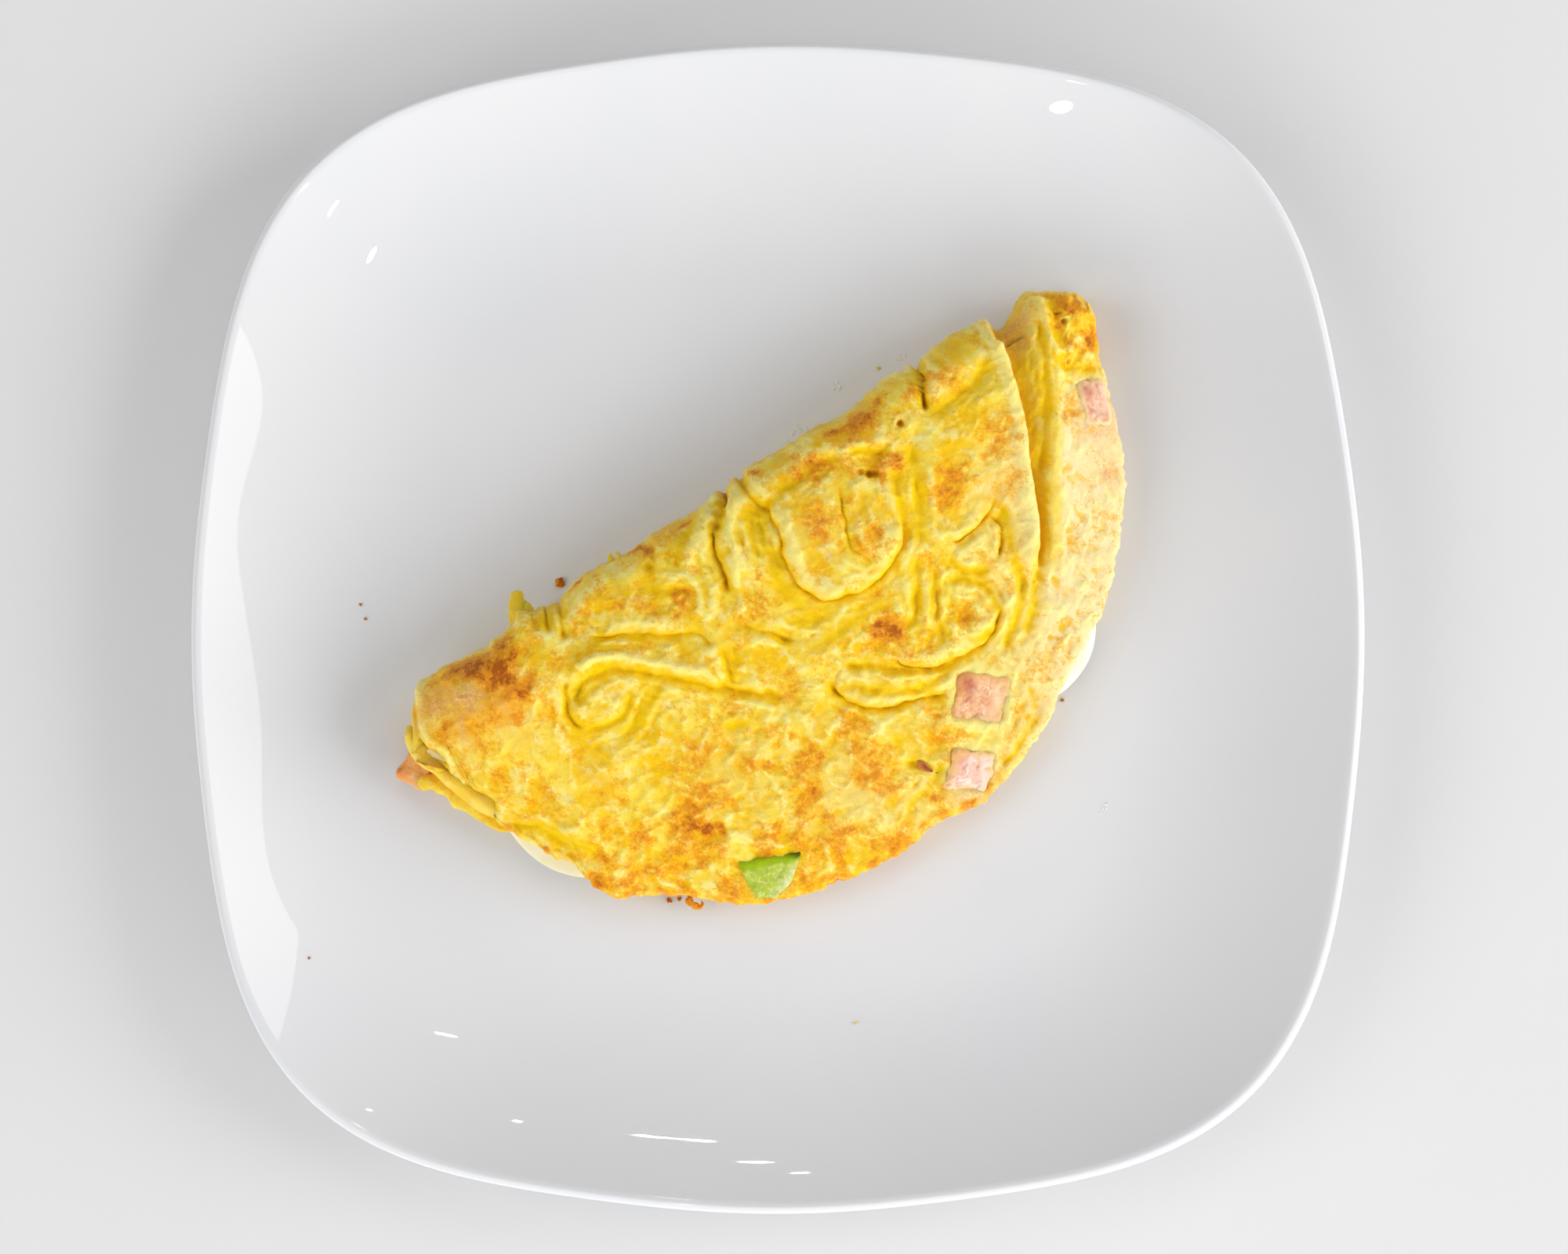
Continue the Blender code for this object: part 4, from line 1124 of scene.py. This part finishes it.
def diced(name, spot, turn, tip, size, wear, seed, finish):
    """A piece of ham: worn edges, slightly uneven cut faces and small pits."""
    cube = bmesh.new()
    bmesh.ops.create_cube(cube, size=1)
    bmesh.ops.subdivide_edges(cube, edges=cube.edges, cuts=DICE_CUTS, use_grid_fill=True)
    unit, faces = taken_apart(cube)
    half = np.array(size) / 2
    inner = np.clip(unit * size, wear - half, half - wear)
    away = unit * size - inner
    far = np.linalg.norm(away, axis=1, keepdims=True)
    normal = away / (far + 1e-9)
    points = inner + normal * np.minimum(far, wear)
    uneven = 0.45 * solid_noise(points, 4, seed) + 0.22 * solid_noise(points, 1.4, seed + 5)
    pits = np.clip(solid_noise(points, 0.9, seed + 9) - 0.25, 0, 1)
    points = points + normal * (uneven - 0.9 * pits)[:, None]
    for axis in (0, 1):
        points[:, axis] += 0.9 * solid_noise(points[:, [1 - axis, 1 - axis, 2]], 5, seed + 2 + axis)
    ragged = 0.06 * solid_noise(points, 2, seed + 7)
    streak = unit[:, 0] + ragged
    attributes = {
        "corner": smooth_step(np.hypot(unit[:, 0] + 0.38, unit[:, 1] - 0.34) + ragged, 0.42, 0.1),
        "rim": smooth_step(np.abs(unit[:, :2]).max(1) + ragged, 0.27, 0.45),
        "fat": smooth_step(streak, 0.1, 0.24) + 0.6 * bump(streak, -0.05, 0.05),
        "pit": np.clip(pits * 3, 0, 1),
    }
    piece = make_piece(name + "_cut", lay(points, spot, turn, tip), faces, finish, attributes)
    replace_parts(piece, name)


def ham_finish(name, flesh, deep, fat, rim, rim_share):
    """Cooked ham: mottled flesh with pale fat, darker at one corner, orange along its cut rim."""
    finish = Finish(name, Subsurface_Weight=0.3, Subsurface_Radius=(1, 0.35, 0.25),
                    Subsurface_Scale=0.0015, IOR=1.4)
    marbling = finish.steps(finish.noise(2.6, 4, 1.2), 0.44, 0.62)
    grain = finish.steps(finish.noise(0.6, 3, 0.4, 0.5), 0.35, 0.7)
    colour = finish.layers(
        finish.mix(marbling, flesh, fat),
        (grain, 0.35, deep),
        ("corner", 0.85, deep),
        ("fat", 0.65, fat),
        ("rim", rim_share, rim),
        ("pit", 0.5, (186, 100, 60)),
    )
    finish.surface(
        Base_Color=colour,
        Roughness=finish.steps(grain, 0, 1, 0.38, 0.55),
        Normal=finish.bump(finish.noise(0.5, 3, 0.3, 1.1), 0.15, 0.5, finish.bump(marbling, 0.15, 0.4)),
    )
    return finish.material


def cheese_finish(name, light, deep):
    finish = Finish(name, Subsurface_Weight=0.4, Subsurface_Radius=(1, 0.85, 0.5),
                    Subsurface_Scale=0.002, IOR=1.45)
    cloud = finish.steps(finish.noise(5, 3, 0.4), 0.35, 0.65)
    finish.surface(
        Base_Color=finish.mix(cloud, light, deep),
        Roughness=finish.steps(cloud, 0, 1, 0.3, 0.42),
        Normal=finish.bump(finish.noise(1.5, 3, 0.2, 0.7), 0.12, 0.4),
    )
    return finish.material


def pepper_finish():
    """Green pepper: a glossy strip of skin, then wet flesh that pales towards its right side."""
    finish = Finish("pepper", Subsurface_Weight=0.35, Subsurface_Radius=(0.7, 1, 0.2),
                    Subsurface_Scale=0.0015, IOR=1.4)
    cells = finish.steps(finish.noise(1.0, 4, 0.6), 0.4, 0.66)
    flesh = finish.mix(cells, (176, 196, 62), (208, 214, 118))
    pallor = finish.maths("MULTIPLY", "pallor", finish.steps(cells, 0, 1, 0.5, 1))
    flesh = finish.mix(pallor, flesh, (226, 226, 172))
    skin = finish.mix(finish.noise(2.5, 3), (146, 172, 8), (166, 188, 26))
    skin = finish.mix("olive", skin, (70, 82, 6))
    colour = finish.mix("skin", flesh, skin)
    finish.surface(
        Base_Color=colour,
        Roughness=finish.steps("skin", 0, 1, 0.4, 0.22),
        Normal=finish.bump(finish.noise(0.45, 3, 0.3), 0.15, 0.5, finish.bump(cells, 0.2, 0.5)),
    )
    return finish.material


def build_pepper():
    known = np.array(PEPPER_OUTLINE)
    steps = PEPPER_POINTS // len(known)
    onward = (np.roll(known, -1, 0) - known)[:, None]
    outline = (known[:, None] + onward * (np.arange(steps) / steps)[:, None]).reshape(-1, 2)
    outline = (np.roll(outline, 1, 0) + 2 * outline + np.roll(outline, -1, 0)) / 4
    outline += 0.22 * np.stack([noise(*outline.T, 1.6, seed) for seed in (93, 94)], -1)

    def surface(flat, share, level):
        x, y = flat.T
        height = level * PEPPER_THICKNESS / 2 + 0.35 * smooth_step(y, 2, 4.4)
        if level > 0:
            height = height + 0.3 * noise(x, y, 2.2, 95) - 0.4 * smooth_step(share, 0.8, 1)
        return np.column_stack([x, y, height])

    levels = [(share, -1) for share in (0.2, 0.5, 0.8)] + round_side(7, 0.07)
    levels += [(share, 1) for share in np.linspace(0.88, 0.08, 14)]
    points, faces = slab(outline, outline.mean(0), levels, surface)
    x, y = points[:, :2].T
    uneven = 0.5 * noise(x, y, 1.5, 96)
    skin = smooth_step(y + uneven - 0.12 * x, 1.9, 3.2)
    attributes = {
        "skin": skin,
        "olive": skin * smooth_step(x + 1.5 * y + uneven, 9, 14),
        "pallor": smooth_step(x - 0.9 * y + 2 * uneven, 1.5, 6),
    }
    points = lay(points, *PEPPER_AT)
    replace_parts(make_piece("pepper_flake", points, faces, pepper_finish(), attributes), "pepper")


def build_fillings():
    for name, (middle, turn, half, corner, *looks) in CHEESE_SLICES.items():
        cheese_slice(name, middle, turn, half, corner, cheese_finish(*looks))
    for number, (name, (spot, turn, tip, size, wear, *looks)) in enumerate(HAM.items()):
        diced(name, spot, turn, tip, size, wear, 10 * number, ham_finish(*looks))
    build_pepper()


# ---------------- shreds, crumbs and drops

# Shreds of egg: points with heights over the plate, width, thickness, browning, paleness, pointed ends
SHREDS = [
    # This strip's paleness is a painted highlight that lifts it out of the shade of the upper leaf
    ([(-85.6, -5, 9.6), (-86.2, -7.6, 9.8), (-86.4, -10.4, 9.8), (-85.8, -14, 9.8), (-84.5, -17.6, 9.6),
      (-83, -21.5, 9.2), (-81.6, -25.6, 8.6), (-79.9, -29.8, 8), (-77.8, -34.4, 7.4), (-75.4, -39, 6.8),
      (-72.6, -44, 6)], 5.2, 5, 0.1, 0.25, (0.4, 0)),
    ([(-84.2, -14, 11.4), (-83, -17.4, 11.4), (-81.7, -21, 11), (-80.3, -25, 10.4), (-78.6, -28.8, 9.8)],
      2.2, 2.6, 0, 0, (1, 1)),
    # This dark browned shred in the gap at the left tip is painted shade: the dark of the gap and the ham in
    # its shadow
    ([(-84.3, -8.4, 10.8), (-83.9, -10.6, 10.9), (-83.3, -12.8, 10.9)], 2, 1.2, 2, 0, (0.5, 0.5)),
    ([(-84, -11.8, 11.6), (-83.1, -14.6, 12), (-82.2, -17.4, 11.8)], 2.6, 2, 0, 1, (0, 1)),
    ([(-91.2, -16.3, 7.2), (-89, -17.9, 7.4), (-86.9, -20.2, 7.2), (-85.2, -23.4, 6.8), (-83.4, -27.6, 6.2),
      (-81.8, -32.3, 5.6), (-80, -37, 5.2)], 4.6, 2.2, 0.2, 0.15, (0.35, 0)),
    ([(-51.5, -3, 14), (-51.3, 0, 13), (-50.3, 3, 11.5), (-48.6, 6.3, 10)], 4.2, 3, 0, 0, (0, 0.35)),
    ([(-50, -3, 13.5), (-49.4, 0, 12.5), (-48.4, 2.8, 11.5)], 3.4, 2.6, 0, 0, (0, 0.4)),
    ([(-49.5, -3.5, 13), (-47.6, -1.6, 12), (-45.6, -0.6, 11)], 2.8, 2.2, 0, 0, (0, 0.4)),
    ([(-53.6, -2.5, 13), (-53, 0, 12), (-52.4, 2.2, 11)], 2.2, 2, 0, 0, (0, 0.4)),
    ([(-55.2, -71, 4), (-55.6, -73.2, 3.4), (-54.9, -74.7, 2.8), (-53.9, -74.6, 2.6), (-53.7, -73.7, 2.8)],
      1.3, 0.9, 1.1, 0, (0, 1)),
    ([(-56, -71.4, 3.6), (-56.3, -73, 3), (-55.6, -74, 2.8)], 1, 0.7, 1, 0, (0, 1)),
    ([(-27.8, -2, 14), (-27.2, -0.2, 13), (-26.6, 1.2, 12)], 1.6, 1.2, 0, 0, (0, 1)),
    ([(-25.6, -2, 14), (-25.4, -0.4, 13), (-25.6, 0.8, 12)], 1.1, 1, 0.2, 0, (0, 1)),
]
SHRED_SIDES = 18
LUMP_SQUASH = 0.55

# Crumbs: x, y in the omelette's axes, size in mm, browning
CRUMBS = [
    (-40.3, 3.7, 1.9, 1.1), (-59.8, -69.6, 1.0, 1.7), (-57.8, -70.6, 0.8, 1.6), (38.1, -82.2, 0.7, 1.6),
    (-80.6, 25.3, 0.6, 1.6), (-81.4, 22, 0.6, 1.6), (-133, -35.2, 0.5, 1.6), (46.7, 3.1, 0.7, 0.2),
    (-40.5, -115.5, 0.6, 0.3),
]
DROP_CLUSTERS = [((24, 0.8), 12, 4.2), ((53.5, 0.8), 6, 2.8), ((32, -108.6), 5, 2.4), ((38, 3), 5, 6)]


def shred_mesh(points, width, thickness, pointed, seed):
    """A torn strip along a curve: flat and round-edged, with its ends blunt or pointed."""
    path = smooth_line(points, 8)
    across = np.gradient(path[:, :2], axis=0)
    across = np.stack([-across[:, 1], across[:, 0]], -1) / np.hypot(*across.T)[:, None]
    share = np.linspace(0, 1, len(path))
    taper = np.sqrt(np.clip(1 - (2 * share - 1) ** 6, 0.02, 1)) * (1 + 0.3 * noise(share * 20, 0, 3, seed))
    for sharp, away in zip(pointed, (share, 1 - share)):
        taper = taper * (1 - 0.9 * sharp * (1 - np.clip(away / 0.6, 0, 1)) ** 1.3)
    turn = 2 * np.pi * np.arange(SHRED_SIDES) / SHRED_SIDES
    rings = []
    for (x, y, height), (dx, dy), size, t in zip(path, across, taper, share):
        size = size / 2 * (1 + 0.3 * noise(turn * 1.6, t * 9, 1.4, seed + 1))
        side = np.cos(turn) * width * size
        rings.append(place(x + dx * side, y + dy * side, height + np.sin(turn) * thickness * size))
    return tube(rings, place(*path[[0, -1]].T))


def build_shreds(finish):
    parts = []
    for number, (line, width, thickness, browning, pallor, pointed) in enumerate(SHREDS):
        values = {"brown": browning, "pale": pallor, "yellow": 0.6 * (1 - pallor)}
        parts.append((*shred_mesh(line, width, thickness, pointed, 120 + 2 * number), values))
    make_joined("egg_shreds", parts, finish)


def scattered(name, spots, finish, uneven):
    """Small lumps on the plate. Each spot is x, y, size and browning."""
    ball = bmesh.new()
    bmesh.ops.create_icosphere(ball, subdivisions=3, radius=0.5)
    unit, faces = taken_apart(ball)
    parts = []
    for number, (x, y, size, browning) in enumerate(spots):
        lump = unit * (1 + uneven * solid_noise(unit, 0.45, 3 * number))[:, None] * size
        lump[:, 2] *= LUMP_SQUASH
        parts.append((lump + place(x, y, 0.02 - lump[:, 2].min()), faces, {"brown": browning}))
    make_joined(name, parts, finish)


def drop_finish():
    """Tiny beads of clear fat, coloured near-white: a painted highlight for the sparkle of light on them."""
    finish = Finish("fat_drops_painted_glint", IOR=1.45, Roughness=0.08)
    finish.surface(
        Base_Color=finish.mix(finish.noise(2), (255, 252, 236), (255, 248, 222)),
        Normal=finish.bump(finish.noise(0.2), 0.02, 0.3),
    )
    return finish.material


def build_small_bits(egg):
    build_shreds(egg)
    scattered("crumbs", CRUMBS, egg, 0.9)
    places = np.random.default_rng(7)
    drops = []
    for (x, y), count, spread in DROP_CLUSTERS:
        for _ in range(count):
            dx, dy = places.normal(0, spread / 2, 2)
            drops.append((x + dx, y + 0.35 * dy + 1.2, places.uniform(0.25, 0.5), 0))
    scattered("drops", drops, drop_finish(), 0.1)


set_stage()
build_plate()
egg_material = egg_finish()
build_egg(egg_material)
build_fillings()
build_small_bits(egg_material)
